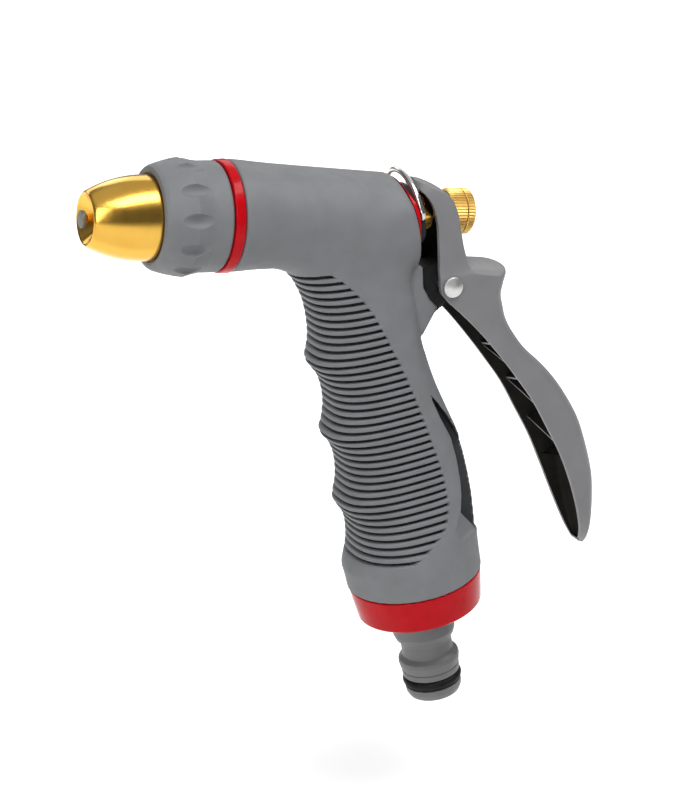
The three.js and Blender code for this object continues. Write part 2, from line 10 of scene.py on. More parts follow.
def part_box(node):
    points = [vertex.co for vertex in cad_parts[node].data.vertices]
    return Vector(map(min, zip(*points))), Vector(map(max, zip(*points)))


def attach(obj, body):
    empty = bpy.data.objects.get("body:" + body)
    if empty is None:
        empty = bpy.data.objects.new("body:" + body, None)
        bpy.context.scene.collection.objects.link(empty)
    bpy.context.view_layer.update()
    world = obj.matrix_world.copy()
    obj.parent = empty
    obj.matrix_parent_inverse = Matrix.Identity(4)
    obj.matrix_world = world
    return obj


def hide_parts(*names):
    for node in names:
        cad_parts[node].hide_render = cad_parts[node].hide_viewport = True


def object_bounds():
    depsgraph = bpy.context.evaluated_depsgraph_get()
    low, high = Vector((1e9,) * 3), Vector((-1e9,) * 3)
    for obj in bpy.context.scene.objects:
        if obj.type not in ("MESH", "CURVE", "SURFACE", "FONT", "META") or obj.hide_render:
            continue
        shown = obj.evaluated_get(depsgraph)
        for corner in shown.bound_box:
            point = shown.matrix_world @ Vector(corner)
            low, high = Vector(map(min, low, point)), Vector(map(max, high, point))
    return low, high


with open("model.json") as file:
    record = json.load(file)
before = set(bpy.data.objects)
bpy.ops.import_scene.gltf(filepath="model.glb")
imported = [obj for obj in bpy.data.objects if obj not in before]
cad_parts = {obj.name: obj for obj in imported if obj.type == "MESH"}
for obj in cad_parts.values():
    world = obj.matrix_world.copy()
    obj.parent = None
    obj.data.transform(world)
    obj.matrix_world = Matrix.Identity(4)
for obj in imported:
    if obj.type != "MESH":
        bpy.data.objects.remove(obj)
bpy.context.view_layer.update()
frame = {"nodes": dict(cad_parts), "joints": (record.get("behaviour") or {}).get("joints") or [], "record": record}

# ---- places read from the frame, in millimetres of the design frame -----------------------
# Design frame: x = 0 on the tip's rim, z = 0 on the barrel's axis, +x to the rear.
MM = 0.001
JOINT = {j["name"]: j for j in frame["joints"]}
MOUNT = {m["name"]: m for m in frame["record"]["mounts"]}
BARREL_Z = JOINT["collar_twist"]["pos_m"][2]
ORIGIN = Vector((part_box("nozzle_tip")[0].x, 0, BARREL_Z))
RAKE = math.asin(MOUNT["hose_inlet"]["axis"][0])
SIN, COS = math.sin(RAKE), math.cos(RAKE)
INLET_S = BARREL_Z / COS / MM
HANDLE_X = -ORIGIN.x / MM - INLET_S * SIN


def design(point_m):
    """A frame point in metres as design millimetres."""
    return (Vector(point_m) - ORIGIN) / MM


def low(node):
    return design(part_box(node)[0])


def high(node):
    return design(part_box(node)[1])


def xi_of(x, z):
    """Distance behind the handle's axis."""
    return (x - HANDLE_X) * COS + z * SIN


def s_of(x, z):
    """Distance down the handle's axis."""
    return (x - HANDLE_X) * SIN - z * COS


PIVOT = design(JOINT["trigger_pull"]["pos_m"])
PIN_HOLE_R = 2.3
WIRE_PIVOT = design(JOINT["lock_wire_swing"]["pos_m"])
WIRE_R = 0.8
TRIM_X = low("front_trim_ring").x
BARREL_X = low("grip_cover").x
HANDLE_END = 107.6
REAR_XI = 13.3

# ---- camera --------------------------------------------------------------------------------
CAMERA_AZIMUTH, CAMERA_ELEVATION, CAMERA_ROLL = -25.644, 16.635, 4.770
CAMERA_DISTANCE = 746.9
CAMERA_TARGET = Vector((77.72, 0, -52.01))
CAMERA_LENS, SENSOR_WIDTH = 124.12, 36


def new_object(name, data):
    """An object of the scene that shows the given data."""
    obj = bpy.data.objects.new(name, data)
    bpy.context.collection.objects.link(obj)
    return obj


def make_camera():
    az, el, roll = (math.radians(v) for v in (CAMERA_AZIMUTH, CAMERA_ELEVATION, CAMERA_ROLL))
    back = Vector((math.sin(az) * math.cos(el), -math.cos(az) * math.cos(el), math.sin(el)))
    level = Vector((math.cos(az), math.sin(az), 0))
    over = back.cross(level)
    right = level * math.cos(roll) + over * math.sin(roll)
    up = over * math.cos(roll) - level * math.sin(roll)
    data = bpy.data.cameras.new("camera")
    data.lens = CAMERA_LENS
    data.sensor_width = SENSOR_WIDTH
    camera = new_object("camera", data)
    place = Matrix((right, up, back)).transposed().to_4x4()
    place.translation = ORIGIN + (CAMERA_TARGET + back * CAMERA_DISTANCE) * MM
    camera.matrix_world = place
    bpy.context.scene.camera = camera


make_camera()


# ---- mesh helpers ---------------------------------------------------------------------------
def piece(name, verts, faces, body, finish, nodes=(), sharp=35):
    """A smooth-shaded mesh from design millimetres, riding on a body and replacing CAD nodes."""
    mesh = bpy.data.meshes.new(name)
    points = np.asarray(verts, dtype=float) * MM + np.array(ORIGIN)
    mesh.from_pydata(points.tolist(), [], [list(map(int, f)) for f in faces])
    mesh.validate()
    mesh.shade_smooth()
    mesh.set_sharp_from_angle(angle=math.radians(sharp))
    obj = new_object(name, mesh)
    mesh.materials.append(FINISHES[finish])
    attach(obj, body)
    if nodes:
        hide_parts(*nodes)
    return obj


def rounded(corners, steps=4, closed=False):
    """Profile from (a, r, fillet radius) corners, each fillet turned into a short arc."""
    points = [np.array(c[:2], dtype=float) for c in corners]
    out = []
    count = len(corners)
    for i, corner in enumerate(corners):
        radius = corner[2] if len(corner) > 2 else 0
        end = i in (0, count - 1) and not closed
        if end or not radius:
            out.append(tuple(points[i]))
            continue
        here, before, after = points[i], points[i - 1], points[(i + 1) % count]
        to_before = (before - here) / np.linalg.norm(before - here)
        to_after = (after - here) / np.linalg.norm(after - here)
        half = math.acos(np.clip(np.dot(to_before, to_after), -1, 1)) / 2
        room = 0.49 * min(np.linalg.norm(before - here), np.linalg.norm(after - here))
        reach = min(radius / math.tan(half), room)
        first, last = here + to_before * reach, here + to_after * reach
        for k in range(steps + 1):
            t = k / steps
            out.append(tuple((1 - t) ** 2 * first + 2 * t * (1 - t) * here + t ** 2 * last))
    if closed:
        out.append(out[0])
    return out


def lathe(profile, segments=128, radial=None):
    """Verts and faces turned round the X axis; radial(a, r, angle) may change the radius."""
    closed = np.allclose(profile[0], profile[-1])
    rows = profile[:-1] if closed else profile
    verts, starts = [], []
    angles = np.arange(segments) * 2 * np.pi / segments
    for a, r in rows:
        starts.append(len(verts))
        if r < 1e-6:
            verts.append((a, 0, 0))
            continue
        rr = np.full(segments, r) if radial is None else radial(a, r, angles)
        verts += list(zip(np.full(segments, a), -rr * np.sin(angles), rr * np.cos(angles)))
    faces = []
    total = len(rows)
    for i in range(total if closed else total - 1):
        j = (i + 1) % total
        pole_i, pole_j = rows[i][1] < 1e-6, rows[j][1] < 1e-6
        for k in range(segments):
            n = (k + 1) % segments
            a0, a1 = starts[i] + (0 if pole_i else k), starts[i] + (0 if pole_i else n)
            b0, b1 = starts[j] + (0 if pole_j else k), starts[j] + (0 if pole_j else n)
            face = [a0, b0, b1, a1]
            faces.append([v for at, v in enumerate(face) if v not in face[:at]])
    return np.array(verts, dtype=float), [f for f in faces if len(f) > 2]


def along_handle(verts, s=0, xi=0):
    """Points turned round X, moved so that X runs down the handle's axis."""
    a, y, c = verts[:, 0] + s, verts[:, 1], verts[:, 2] + xi
    return np.stack([HANDLE_X + a * SIN + c * COS, y, -a * COS + c * SIN], 1)


def across_rear(verts, s):
    """Points turned round X, moved so that X runs along +xi through s on the handle's axis."""
    xi, y, up = verts[:, 0], verts[:, 1], verts[:, 2]
    return np.stack([HANDLE_X + (s - up) * SIN + xi * COS, y, -(s - up) * COS + xi * SIN], 1)


def along_y(verts, x, z):
    """Points turned round X, moved so that X runs along +Y through x, z."""
    return np.stack([x + verts[:, 1], verts[:, 0], z + verts[:, 2]], 1)


def sweep(path, radius, sides=16):
    """A round tube along a list of points."""
    path = np.asarray(path, dtype=float)
    tangent = np.gradient(path, axis=0)
    tangent /= np.linalg.norm(tangent, axis=1)[:, None]
    side = np.cross(tangent[0], (0.3, 0.2, 1))
    verts, faces = [], []
    angles = np.arange(sides) * 2 * np.pi / sides
    for i, (p, t) in enumerate(zip(path, tangent)):
        side = side - t * np.dot(side, t)
        side /= np.linalg.norm(side)
        other = np.cross(t, side)
        verts += [p + radius * (side * math.cos(a) + other * math.sin(a)) for a in angles]
        if i:
            for k in range(sides):
                n = (k + 1) % sides
                b = (i - 1) * sides
                faces.append((b + k, b + n, b + sides + n, b + sides + k))
    faces += [tuple(range(sides))[::-1], tuple(range((len(path) - 1) * sides, len(path) * sides))]
    return np.array(verts), faces


# ---- distance fields --------------------------------------------------------------------------
def smin(a, b, k):
    h = np.maximum(k - np.abs(a - b), 0) / k
    return np.minimum(a, b) - h * h * k / 4


def smax(a, b, k):
    return -smin(-a, -b, k)


def spline(points, count=80):
    """Dense points on a Catmull-Rom curve through a few points."""
    p = np.asarray(points, dtype=float)
    p = np.vstack([2 * p[0] - p[1], p, 2 * p[-1] - p[-2]])
    out = []
    per = max(2, count // (len(points) - 1))
    for i in range(1, len(p) - 2):
        t = np.linspace(0, 1, per, endpoint=False)[:, None]
        a, b, c, d = p[i - 1], p[i], p[i + 1], p[i + 2]
        bend, twist = 2 * a - 5 * b + 4 * c - d, 3 * b - a - 3 * c + d
        out.append(0.5 * (2 * b + (c - a) * t + bend * t ** 2 + twist * t ** 3))
    out.append(p[-2][None])
    return np.vstack(out)


def outline_distance(polygon, u, v):
    """Signed distance from points u, v to a closed outline, negative inside."""
    shape = np.broadcast(u, v).shape
    u, v = (np.broadcast_to(w, shape) for w in (u, v))
    best = np.full(shape, 1e9)
    inside = np.zeros(shape, dtype=bool)
    polygon = np.asarray(polygon, dtype=float)
    for (u0, v0), (u1, v1) in zip(polygon, np.roll(polygon, -1, axis=0)):
        du, dv = u1 - u0, v1 - v0
        length = du * du + dv * dv
        if length < 1e-12:
            continue
        t = np.clip(((u - u0) * du + (v - v0) * dv) / length, 0, 1)
        best = np.minimum(best, (u - u0 - t * du) ** 2 + (v - v0 - t * dv) ** 2)
        if v0 != v1:
            crosses = (v0 > v) != (v1 > v)
            inside ^= crosses & (u < du * (v - v0) / dv + u0)
    best = np.sqrt(best)
    return np.where(inside, -best, best)


def keyed(keys):
    """Smooth function through (t, value) keys."""
    dense = spline(keys, 240)
    return lambda t: np.interp(t, dense[:, 0], dense[:, 1])


CORNERS = [(i, j, k) for i in (0, 1) for j in (0, 1) for k in (0, 1)]


def surface_net(field, low_corner, high_corner, step):
    """Mesh of field(x, y, z) = 0 on a grid, its points moved onto the surface."""
    axes = [np.arange(a, b + step, step) for a, b in zip(low_corner, high_corner)]
    x, y, z = axes[0][:, None, None], axes[1][None, :, None], axes[2][None, None, :]
    value = np.broadcast_to(field(x, y, z), [len(a) for a in axes]).astype(np.float32)
    inside = value < 0
    shape = np.array(inside.shape) - 1
    total = np.zeros((*shape, 3), dtype=np.float32)
    hits = np.zeros(shape, dtype=np.float32)
    for a, corner in enumerate(CORNERS):
        for axis in range(3):
            if corner[axis]:
                continue
            other = list(corner)
            other[axis] = 1
            pick = tuple(slice(c, c + n) for c, n in zip(corner, shape))
            pick_other = tuple(slice(c, c + n) for c, n in zip(other, shape))
            cross = inside[pick] != inside[pick_other]
            v0, v1 = value[pick][cross], value[pick_other][cross]
            offset = np.tile(np.array(corner, dtype=np.float32), (len(v0), 1))
            offset[:, axis] = v0 / (v0 - v1)
            total[cross] += offset
            hits[cross] += 1
    active = hits > 0
    number = np.full(shape, -1)
    number[active] = np.arange(active.sum())
    cells = np.argwhere(active)
    verts = np.array([a[0] for a in axes]) + (cells + total[active] / hits[active][:, None]) * step
    faces = []
    for axis in range(3):
        b, c = (axis + 1) % 3, (axis + 2) % 3
        lower = [slice(1, n) for n in inside.shape]
        lower[axis] = slice(0, inside.shape[axis] - 1)
        upper = list(lower)
        upper[axis] = slice(1, inside.shape[axis])
        for ax in (b, c):
            lower[ax] = upper[ax] = slice(1, inside.shape[ax] - 1)
        first, second = inside[tuple(lower)], inside[tuple(upper)]
        for entering in (True, False):
            where = np.argwhere(second & ~first if entering else first & ~second)
            base = where.copy()
            base[:, b] += 1
            base[:, c] += 1
            ring = []
            for db, dc in ((-1, -1), (0, -1), (0, 0), (-1, 0)):
                cell = base.copy()
                cell[:, b] += db
                cell[:, c] += dc
                ring.append(number[cell[:, 0], cell[:, 1], cell[:, 2]])
            quad = np.stack(ring if not entering else ring[::-1], 1)
            faces.append(quad)
    faces = np.vstack(faces)
    verts = settle(field, verts, step)
    return verts, faces


def settle(field, verts, step, rounds=3):
    """Moves points along the field's slope until they lie on its zero surface."""
    h = 0.02
    start = verts.copy()
    for _ in range(rounds):
        x, y, z = verts.T
        value = field(x, y, z)
        slope = np.stack([
            field(x + h, y, z) - field(x - h, y, z),
            field(x, y + h, z) - field(x, y - h, z),
            field(x, y, z + h) - field(x, y, z - h)], 1) / (2 * h)
        push = value[:, None] * slope / np.maximum((slope ** 2).sum(1), 0.2)[:, None]
        verts = verts - np.clip(push, -0.3 * step, 0.3 * step)
        verts = start + np.clip(verts - start, -0.6 * step, 0.6 * step)
    return verts


# ---- materials --------------------------------------------------------------------------------
class Nodes:
    """Short way to add and link shader nodes."""

    def __init__(self, name):
        self.material = bpy.data.materials.new(name)
        self.material.use_nodes = True
        self.tree = self.material.node_tree
        self.shader = self.tree.nodes["Principled BSDF"]
        coordinates = self.tree.nodes.new("ShaderNodeTexCoord")
        self.place = coordinates.outputs["Object"]

    def feed(self, node, inputs):
        """Sets a node's inputs by name, or links them where an output is given."""
        for name, value in inputs.items():
            socket = node.inputs[name.replace("_", " ")]
            if hasattr(value, "is_output"):
                self.tree.links.new(value, socket)
            else:
                socket.default_value = value

    def add(self, kind, **inputs):
        node = self.tree.nodes.new("ShaderNode" + kind)
        self.feed(node, inputs)
        return node

    def set(self, **inputs):
        self.feed(self.shader, inputs)

    def noise(self, scale, detail=3, rough=0.5, stretch=(1, 1, 1)):
        place = self.add("Mapping", Vector=self.place, Scale=stretch).outputs[0]
        noise = self.add("TexNoise", Vector=place, Scale=scale, Detail=detail, Roughness=rough)
        return noise.outputs["Fac"]

    def ramp(self, source, low_value, high_value, low_at=0.3, high_at=0.7):
        node = self.add("ValToRGB", Fac=source)
        node.color_ramp.elements[0].position = low_at
        node.color_ramp.elements[1].position = high_at
        node.color_ramp.elements[0].color = (*low_value, 1)
        node.color_ramp.elements[1].color = (*high_value, 1)
        return node.outputs[0]

    def span(self, source, low_value, high_value, low_at=0.3, high_at=0.7):
        node = self.add("MapRange", Value=source, From_Min=low_at, From_Max=high_at,
                        To_Min=low_value, To_Max=high_value)
        return node.outputs[0]

    def bump(self, height, strength, distance, under=None):
        node = self.add("Bump", Height=height, Strength=strength, Distance=distance)
        if under is not None:
            self.tree.links.new(under, node.inputs["Normal"])
        return node.outputs[0]


def tinted(colour, share):
    return tuple(c * share for c in colour)


def rubber_grey():
    m = Nodes("rubber_grey")
    base = (0.172, 0.178, 0.186)
    mottle = m.noise(160, 4)
    m.set(Base_Color=m.ramp(mottle, tinted(base, 0.93), tinted(base, 1.06)))
    m.set(Roughness=m.span(m.noise(420, 3), 0.56, 0.68))
    grain = m.bump(m.noise(5200, 2), 0.22, 0.00006)
    m.set(Normal=m.bump(m.noise(700, 3), 0.12, 0.0001, grain))
    return m.material


def plastic_grey(name="plastic_grey", base=(0.190, 0.190, 0.197)):
    m = Nodes(name)
    m.set(Base_Color=m.ramp(m.noise(120, 3), tinted(base, 0.95), tinted(base, 1.05)))
    m.set(Roughness=m.span(m.noise(500, 3), 0.4, 0.5))
    m.set(Normal=m.bump(m.noise(3500, 2), 0.12, 0.00005))
    return m.material


def cast_black():
    m = Nodes("cast_black")
    m.set(Base_Color=m.ramp(m.noise(300, 4), (0.006, 0.006, 0.007), (0.013, 0.013, 0.014)))
    m.set(Specular_IOR_Level=0.3)
    m.set(Roughness=m.span(m.noise(900, 3), 0.5, 0.7))
    m.set(Normal=m.bump(m.noise(2600, 3), 0.3, 0.0001))
    return m.material


def gloss_red():
    m = Nodes("gloss_red")
    m.set(Base_Color=m.ramp(m.noise(220, 3), (0.43, 0.002, 0.006), (0.50, 0.003, 0.009)))
    m.set(Roughness=m.span(m.noise(600, 2), 0.14, 0.24))
    m.set(Coat_Weight=0.04, Coat_Roughness=0.05, Specular_IOR_Level=0.12)
    m.set(Normal=m.bump(m.noise(1500, 2), 0.1, 0.00006))
    return m.material


def brass():
    m = Nodes("brass")
    lines = m.noise(1, 3, 0.6, (9000, 12, 12))
    m.set(Base_Color=m.ramp(m.noise(90, 3), (0.86, 0.49, 0.08), (0.94, 0.56, 0.11)))
    m.set(Metallic=1.0)
    m.set(Roughness=m.span(lines, 0.15, 0.27))
    m.set(Normal=m.bump(lines, 0.2, 0.00004))
    return m.material


def satin_brass():
    m = Nodes("satin_brass")
    m.set(Base_Color=m.ramp(m.noise(400, 3), (0.88, 0.58, 0.17), (0.96, 0.66, 0.22)))
    m.set(Metallic=1.0)
    m.set(Roughness=m.span(m.noise(1500, 3), 0.42, 0.54))
    m.set(Normal=m.bump(m.noise(2500, 3), 0.2, 0.00005))
    return m.material


def dull_metal():
    m = Nodes("dull_metal")
    m.set(Base_Color=m.ramp(m.noise(900, 3), (0.17, 0.16, 0.13), (0.24, 0.23, 0.19)))
    m.set(Metallic=0.6)
    m.set(Roughness=m.span(m.noise(1400, 3), 0.45, 0.6))
    m.set(Normal=m.bump(m.noise(2500, 3), 0.2, 0.00005))
    return m.material


def channel_painted_shade():
    m = Nodes("channel_painted_shade")
    # Painted shade: a near-black colour that stands in for the shade deep inside the trigger's channel.
    m.set(Base_Color=m.ramp(m.noise(200, 3), (0.012, 0.011, 0.009), (0.020, 0.018, 0.015)))
    m.set(Roughness=m.span(m.noise(700, 3), 0.6, 0.75))
    m.set(Specular_IOR_Level=0.15)
    m.set(Normal=m.bump(m.noise(2500, 3), 0.2, 0.00006))
    return m.material


def pocket_painted_shade():
    m = Nodes("pocket_painted_shade")
    # Painted shade: a darker grey that stands in for the shade inside the grip's pockets.
    m.set(Base_Color=m.ramp(m.noise(160, 4), (0.046, 0.049, 0.052), (0.054, 0.057, 0.060)))
    m.set(Roughness=m.span(m.noise(420, 3), 0.7, 0.8), Specular_IOR_Level=0.2)
    m.set(Normal=m.bump(m.noise(2600, 3), 0.15, 0.00006))
    return m.material


def steel(name="steel", smoothest=0.14, roughest=0.26):
    m = Nodes(name)
    m.set(Base_Color=m.ramp(m.noise(260, 3), (0.68, 0.68, 0.67), (0.80, 0.80, 0.79)))
    m.set(Metallic=1.0)
    m.set(Roughness=m.span(m.noise(1400, 3), smoothest, roughest))
    m.set(Normal=m.bump(m.noise(2600, 2), 0.08, 0.00004))
    return m.material


def seal_black():
    m = Nodes("seal_black")
    m.set(Base_Color=m.ramp(m.noise(420, 3), (0.008, 0.008, 0.008), (0.016, 0.016, 0.016)))
    m.set(Roughness=m.span(m.noise(1100, 3), 0.4, 0.5), Specular_IOR_Level=0.1)
    m.set(Normal=m.bump(m.noise(3000, 2), 0.15, 0.00005))
    return m.material


FINISHES = {
    "rubber_grey": rubber_grey(), "plastic_grey": plastic_grey(), "cast_black": cast_black(),
    "gloss_red": gloss_red(), "brass": brass(), "steel": steel(), "seal_black": seal_black()}

SATIN_BRASS, DULL_METAL = satin_brass(), dull_metal()
CHANNEL_PAINTED_SHADE, POCKET_PAINTED_SHADE = channel_painted_shade(), pocket_painted_shade()
SATIN_STEEL = steel("satin_steel", 0.36, 0.46)
# Painted shade: a darker copy of the plastic grey for the hose connector, standing in for the shade on it.
SPIGOT_SHADED_GREY = plastic_grey("spigot_painted_shade_grey", (0.140, 0.140, 0.144))

for sub in frame["record"]["subparts"]:
    node = frame["nodes"][sub["node"]]
    node.data.materials.clear()
    node.data.materials.append(FINISHES[sub["material_slot"]])

# ---- spray head -------------------------------------------------------------------------------
TIP_END_X, TIP_RIM_R, TIP_END_R = 17.4, 7.08, 11.2


def nose_radius(x):
    return TIP_RIM_R + (TIP_END_R - TIP_RIM_R) * (1 - (1 - x / TIP_END_X) ** 2.3)


def make_tip():
    outside = [(x, nose_radius(x)) for x in np.linspace(0.45, TIP_END_X - 0.4, 28)]
    rim = [(0.3, 6.35), (0.08, 6.55), (0, 6.75), (0.06, 6.95), (0.2, 7.08)]
    rear = [(TIP_END_X, nose_radius(TIP_END_X) - 0.35), (TIP_END_X, 9.4), (29.4, 9.4), (29.4, 7.9),
            (31.4, 7.9), (31.4, 9.4), (34, 9.4), (34, 6.9), (9.1, 6.9), (5.2, 3), (3.8, 3)]
    profile = rim + outside + rear + [rim[0]]
    piece("tip_turned", *lathe(profile, 192), "tip_body", "brass", ["nozzle_tip"], 28)


def make_stem():
    profile = rounded([(-1.3, 0), (-1.3, 2.33, 0.25), (-0.4, 2.33, 0.2), (0.2, 1.4, 0.3), (6, 1.4),
                       (6, 1.7), (8.9, 1.7), (8.9, 5.2), (10.4, 5.2), (10.4, 2.2), (58, 2.2),
                       (58, 5), (60, 5), (60, 1.6), (108.6, 1.6, 0.3), (108.6, 0)])
    stem = piece("stem_turned", *lathe(profile, 64), "stem_body", "steel", ["valve_stem"], 30)
    stem.data.materials[0] = DULL_METAL
    stem.data.materials.append(FINISHES["brass"])
    for face in stem.data.polygons:
        face.material_index = 1 if -0.3 < design(face.center).x < 8 else 0


COLLAR_CREST_X = 25.5
COLLAR = [(17.2, 11.6), (17, 12.3, 0.5), (17.3, 13.2, 0.6), (18.3, 13.8, 0.8), (21, 14.6, 3),
          (23.5, 15.2, 2), (COLLAR_CREST_X, 15.5, 0.15), (27.6, 14.95, 1.6), (30, 14.5, 2),
          (34.7, 14.5, 0.5), (35.3, 14.1, 0.3), (35.3, 11.9), (24.8, 11.9), (24.8, 9.7),
          (18.2, 9.7), (17.8, 11.6)]
COLLAR_SKIN, DENT_START = 13.3, 18  # the dents are cut outside this radius and behind this x
DIMPLES, DIMPLE_PHASE = 12, 0.687
# The dents' own radius, their floor's distance from the axis and how fast it rises along the axis.
DENT_R, DENT_FLOOR, DENT_RISE = 2.0, 14.0, 0.034


def collar_radius(a, r, angles):
    """Outside of the collar, with a round finger dent cut along it every twelfth of a turn."""
    if r < COLLAR_SKIN or a < DENT_START:
        return np.full(len(angles), r)
    turn = 2 * np.pi / DIMPLES
    off = ((angles / turn - DIMPLE_PHASE + 0.5) % 1 - 0.5) * turn
    middle = DENT_FLOOR + DENT_RISE * (a - COLLAR_CREST_X) ** 2 + DENT_R
    across = middle * np.sin(off)
    floor = middle * np.cos(off) - np.sqrt(np.maximum(DENT_R ** 2 - across ** 2, 0))
    return np.where(np.abs(across) < DENT_R, np.minimum(r, floor), r)


def make_collar():
    profile = rounded(COLLAR, 6, closed=True)
    dense = []
    for (a0, r0), (a1, r1) in zip(profile, profile[1:]):
        outer = min(r0, r1) > COLLAR_SKIN
        steps = max(1, int(math.hypot(a1 - a0, r1 - r0) / 0.3)) if outer else 1
        dense += [(a0 + (a1 - a0) * i / steps, r0 + (r1 - r0) * i / steps) for i in range(steps)]
    dense.append(profile[-1])
    verts, faces = lathe(dense, 60 * DIMPLES, collar_radius)
    piece("collar_moulded", verts, faces, "collar_body", "rubber_grey", ["adjust_collar"], 20)


def make_front_ring():
    x0, x1, r = TRIM_X, TRIM_X + 2.7, 14.85
    profile = rounded([(x0, 11.9), (x0, r - 0.05, 0.45), (x1, r + 0.1, 0.45), (x1, 11.9)], 6, closed=True)
    piece("front_ring_turned", *lathe(profile, 160), "frame_body", "gloss_red", ["front_trim_ring"], 40)


def squashed(verts, squash):
    verts = verts.copy()
    verts[:, 2] *= squash
    return verts


REAR_S, REAR_SQUASH = 4.9, 0.87


def make_rear_ring():
    x0, x1 = REAR_XI + 0.3, REAR_XI + 1.4
    profile = rounded([(x0, 10.95), (x0, 13, 0.2), (x1, 12.9, 0.5), (x1, 10.95, 0.2)], 5, closed=True)
    verts, faces = lathe(profile, 128)
    up = verts[:, 2]  # the ring sinks into the rear face at its top and lower down
    sunk = np.maximum(np.clip((4 - up) / 6, 0, 1), np.clip((up - 7) / 3.5, 0, 1))
    verts[:, 0] = x0 + (verts[:, 0] - x0) * (1 - 0.8 * sunk)
    piece("rear_ring_moulded", across_rear(squashed(verts, REAR_SQUASH), REAR_S), faces, "frame_body",
          "gloss_red", ["rear_trim_ring"], 40)


def make_base_ring():
    top, end = HANDLE_END + 0.3, 117.6
    profile = rounded([(top, 15.8), (top, 18.75, 0.35), (end - 0.4, 17.5, 0.5), (end, 17.0, 0.4),
                       (end, 15.8)], 6,
                      closed=True)
    verts, faces = lathe(profile, 192)
    piece("base_ring_moulded", along_handle(verts), faces, "frame_body", "gloss_red", ["base_ring"], 40)


# ---- hose end -----------------------------------------------------------------------------------
SPIGOT = [(108.6, 4.2), (108.6, 7.7), (118, 7.7), (118, 8.8), (119.2, 8.8), (125.4, 8.8, 0.6),
          (127, 8.25, 0.5), (127.4, 7.5, 0.4), (128.6, 7.2, 0.6), (132.2, 7.2, 0.7),
          (133.3, 8.5, 0.6), (134.4, 8.65, 0.6), (136.7, 8.2), (136.8, 7.95), (137, 7.95),
          (137.1, 8.15), (138.8, 8.1, 0.2), (138.8, 5.5), (142, 5.5), (142, 8, 0.2),
          (143.6, 7.9, 0.8), (145.1, 7.2, 0.6), (145.7, 5.9, 0.3), (145.9, 4.2, 0.2)]


def make_connector():
    verts, faces = lathe(rounded(SPIGOT, 5, closed=True), 144)
    spigot = piece("spigot_moulded", along_handle(verts), faces, "frame_body", "plastic_grey",
                   ["hose_connector"], 35)
    # The connector wears the darker painted-shade copy of the plastic grey.
    spigot.data.materials[0] = SPIGOT_SHADED_GREY
    turns = np.linspace(0, 2 * np.pi, 25)
    ring = [(140.4 - 1.33 * math.cos(t), 7.1 + 1.3 * math.sin(t)) for t in turns]
    verts, faces = lathe(ring, 128)
    piece("spigot_oring", along_handle(verts), faces, "frame_body", "seal_black", ["connector_oring"], 80)


# ---- knobs, gland, pin and wire -----------------------------------------------------------------
KNOB_R = 6.2
TEETH = 46


KNURL_START, KNURL_DEPTH = 5.7, 0.34


def knurl(a, r, angles):
    wave = 0.5 + 0.5 * np.cos(angles * TEETH)
    return r - (KNURL_DEPTH * (1 - wave ** 0.7) if r > KNURL_START else 0)


def make_nut(name, x0, x1, front, rear, body, node):
    """Knurled nut from x0 to x1 with a chamfer of its own at each end."""
    profile = rounded([(x0, 1.9), (x0, KNOB_R - front), (x0 + front, KNOB_R), (x1 - rear, KNOB_R),
                       (x1, KNOB_R - rear), (x1, 1.9)], 4, closed=True)
    nut = piece(name, *lathe(profile, 6 * TEETH, knurl), body, "brass", [node], 34)
    nut.data.materials[0] = SATIN_BRASS


HEX_START, HEX_FLAT = 4.65, 4.6


def hexagon(a, r, angles):
    """Outside of the gland nut, with six flats."""
    if r < HEX_START:
        return np.full(len(angles), r)
    off = (angles + math.pi / 6) % (math.pi / 3) - math.pi / 6
    return np.minimum(r, HEX_FLAT / np.cos(off))


def make_gland():
    corners = [(89.6, 1.9), (89.6, 4.6), (94, 4.6), (94, 5.1), (96, 5.1, 0.2), (96.4, 4.7, 0.2),
               (96.4, 1.9)]
    profile = rounded(corners, 4, closed=True)
    piece("gland_turned", *lathe(profile, 96, hexagon), "frame_body", "brass", ["gland_nut"], 30)


def make_pin():
    face = 9.7
    head = [(-face - 1.6, 0), (-face - 1.45, 0.9, 0.5), (-face - 0.7, 2.75, 0.2),
            (-face - 0.1, 2.95, 0.2)]
    shaft = [(-face, 2, 0.05), (face + 1.8, 2, 0.4), (face + 1.8, 0)]
    profile = rounded(head + shaft, 5)
    verts, faces = lathe(profile, 72)
    verts = along_y(verts, PIVOT.x, PIVOT.z)
    pin = piece("pin_turned", verts, faces, "frame_body", "steel", ["pivot_pin"], 30)
    pin.data.materials[0] = SATIN_STEEL
    back = face + 0.9
    clip = [(face, PIN_HOLE_R), (face, 3.4, 0.15), (back, 3.4, 0.15), (back, PIN_HOLE_R)]
    verts, faces = lathe(rounded(clip, 3, closed=True), 48)
    piece("clip_pressed", along_y(verts, PIVOT.x, PIVOT.z), faces, "frame_body", "steel", ["pin_clip"], 30)


def make_wire():
    arch, bend = 11.1, 1.5
    path = [(8, 0), (arch - bend, 0), (arch - 0.45, 0.3), (arch - 0.02, 1.5)]
    path += [(arch * math.cos(a), arch * math.sin(a)) for a in np.linspace(0.22, math.pi - 0.22, 19)]
    path += [(-arch + 0.02, 1.5), (-arch + 0.45, 0.3), (-arch + bend, 0), (-8, 0)]
    curve = spline([(WIRE_PIVOT.x - h * SIN, y, WIRE_PIVOT.z + h * COS) for y, h in path], 180)
    piece("wire_bent", *sweep(curve, WIRE_R, 20), "wire_body", "steel", ["lock_wire"], 50)


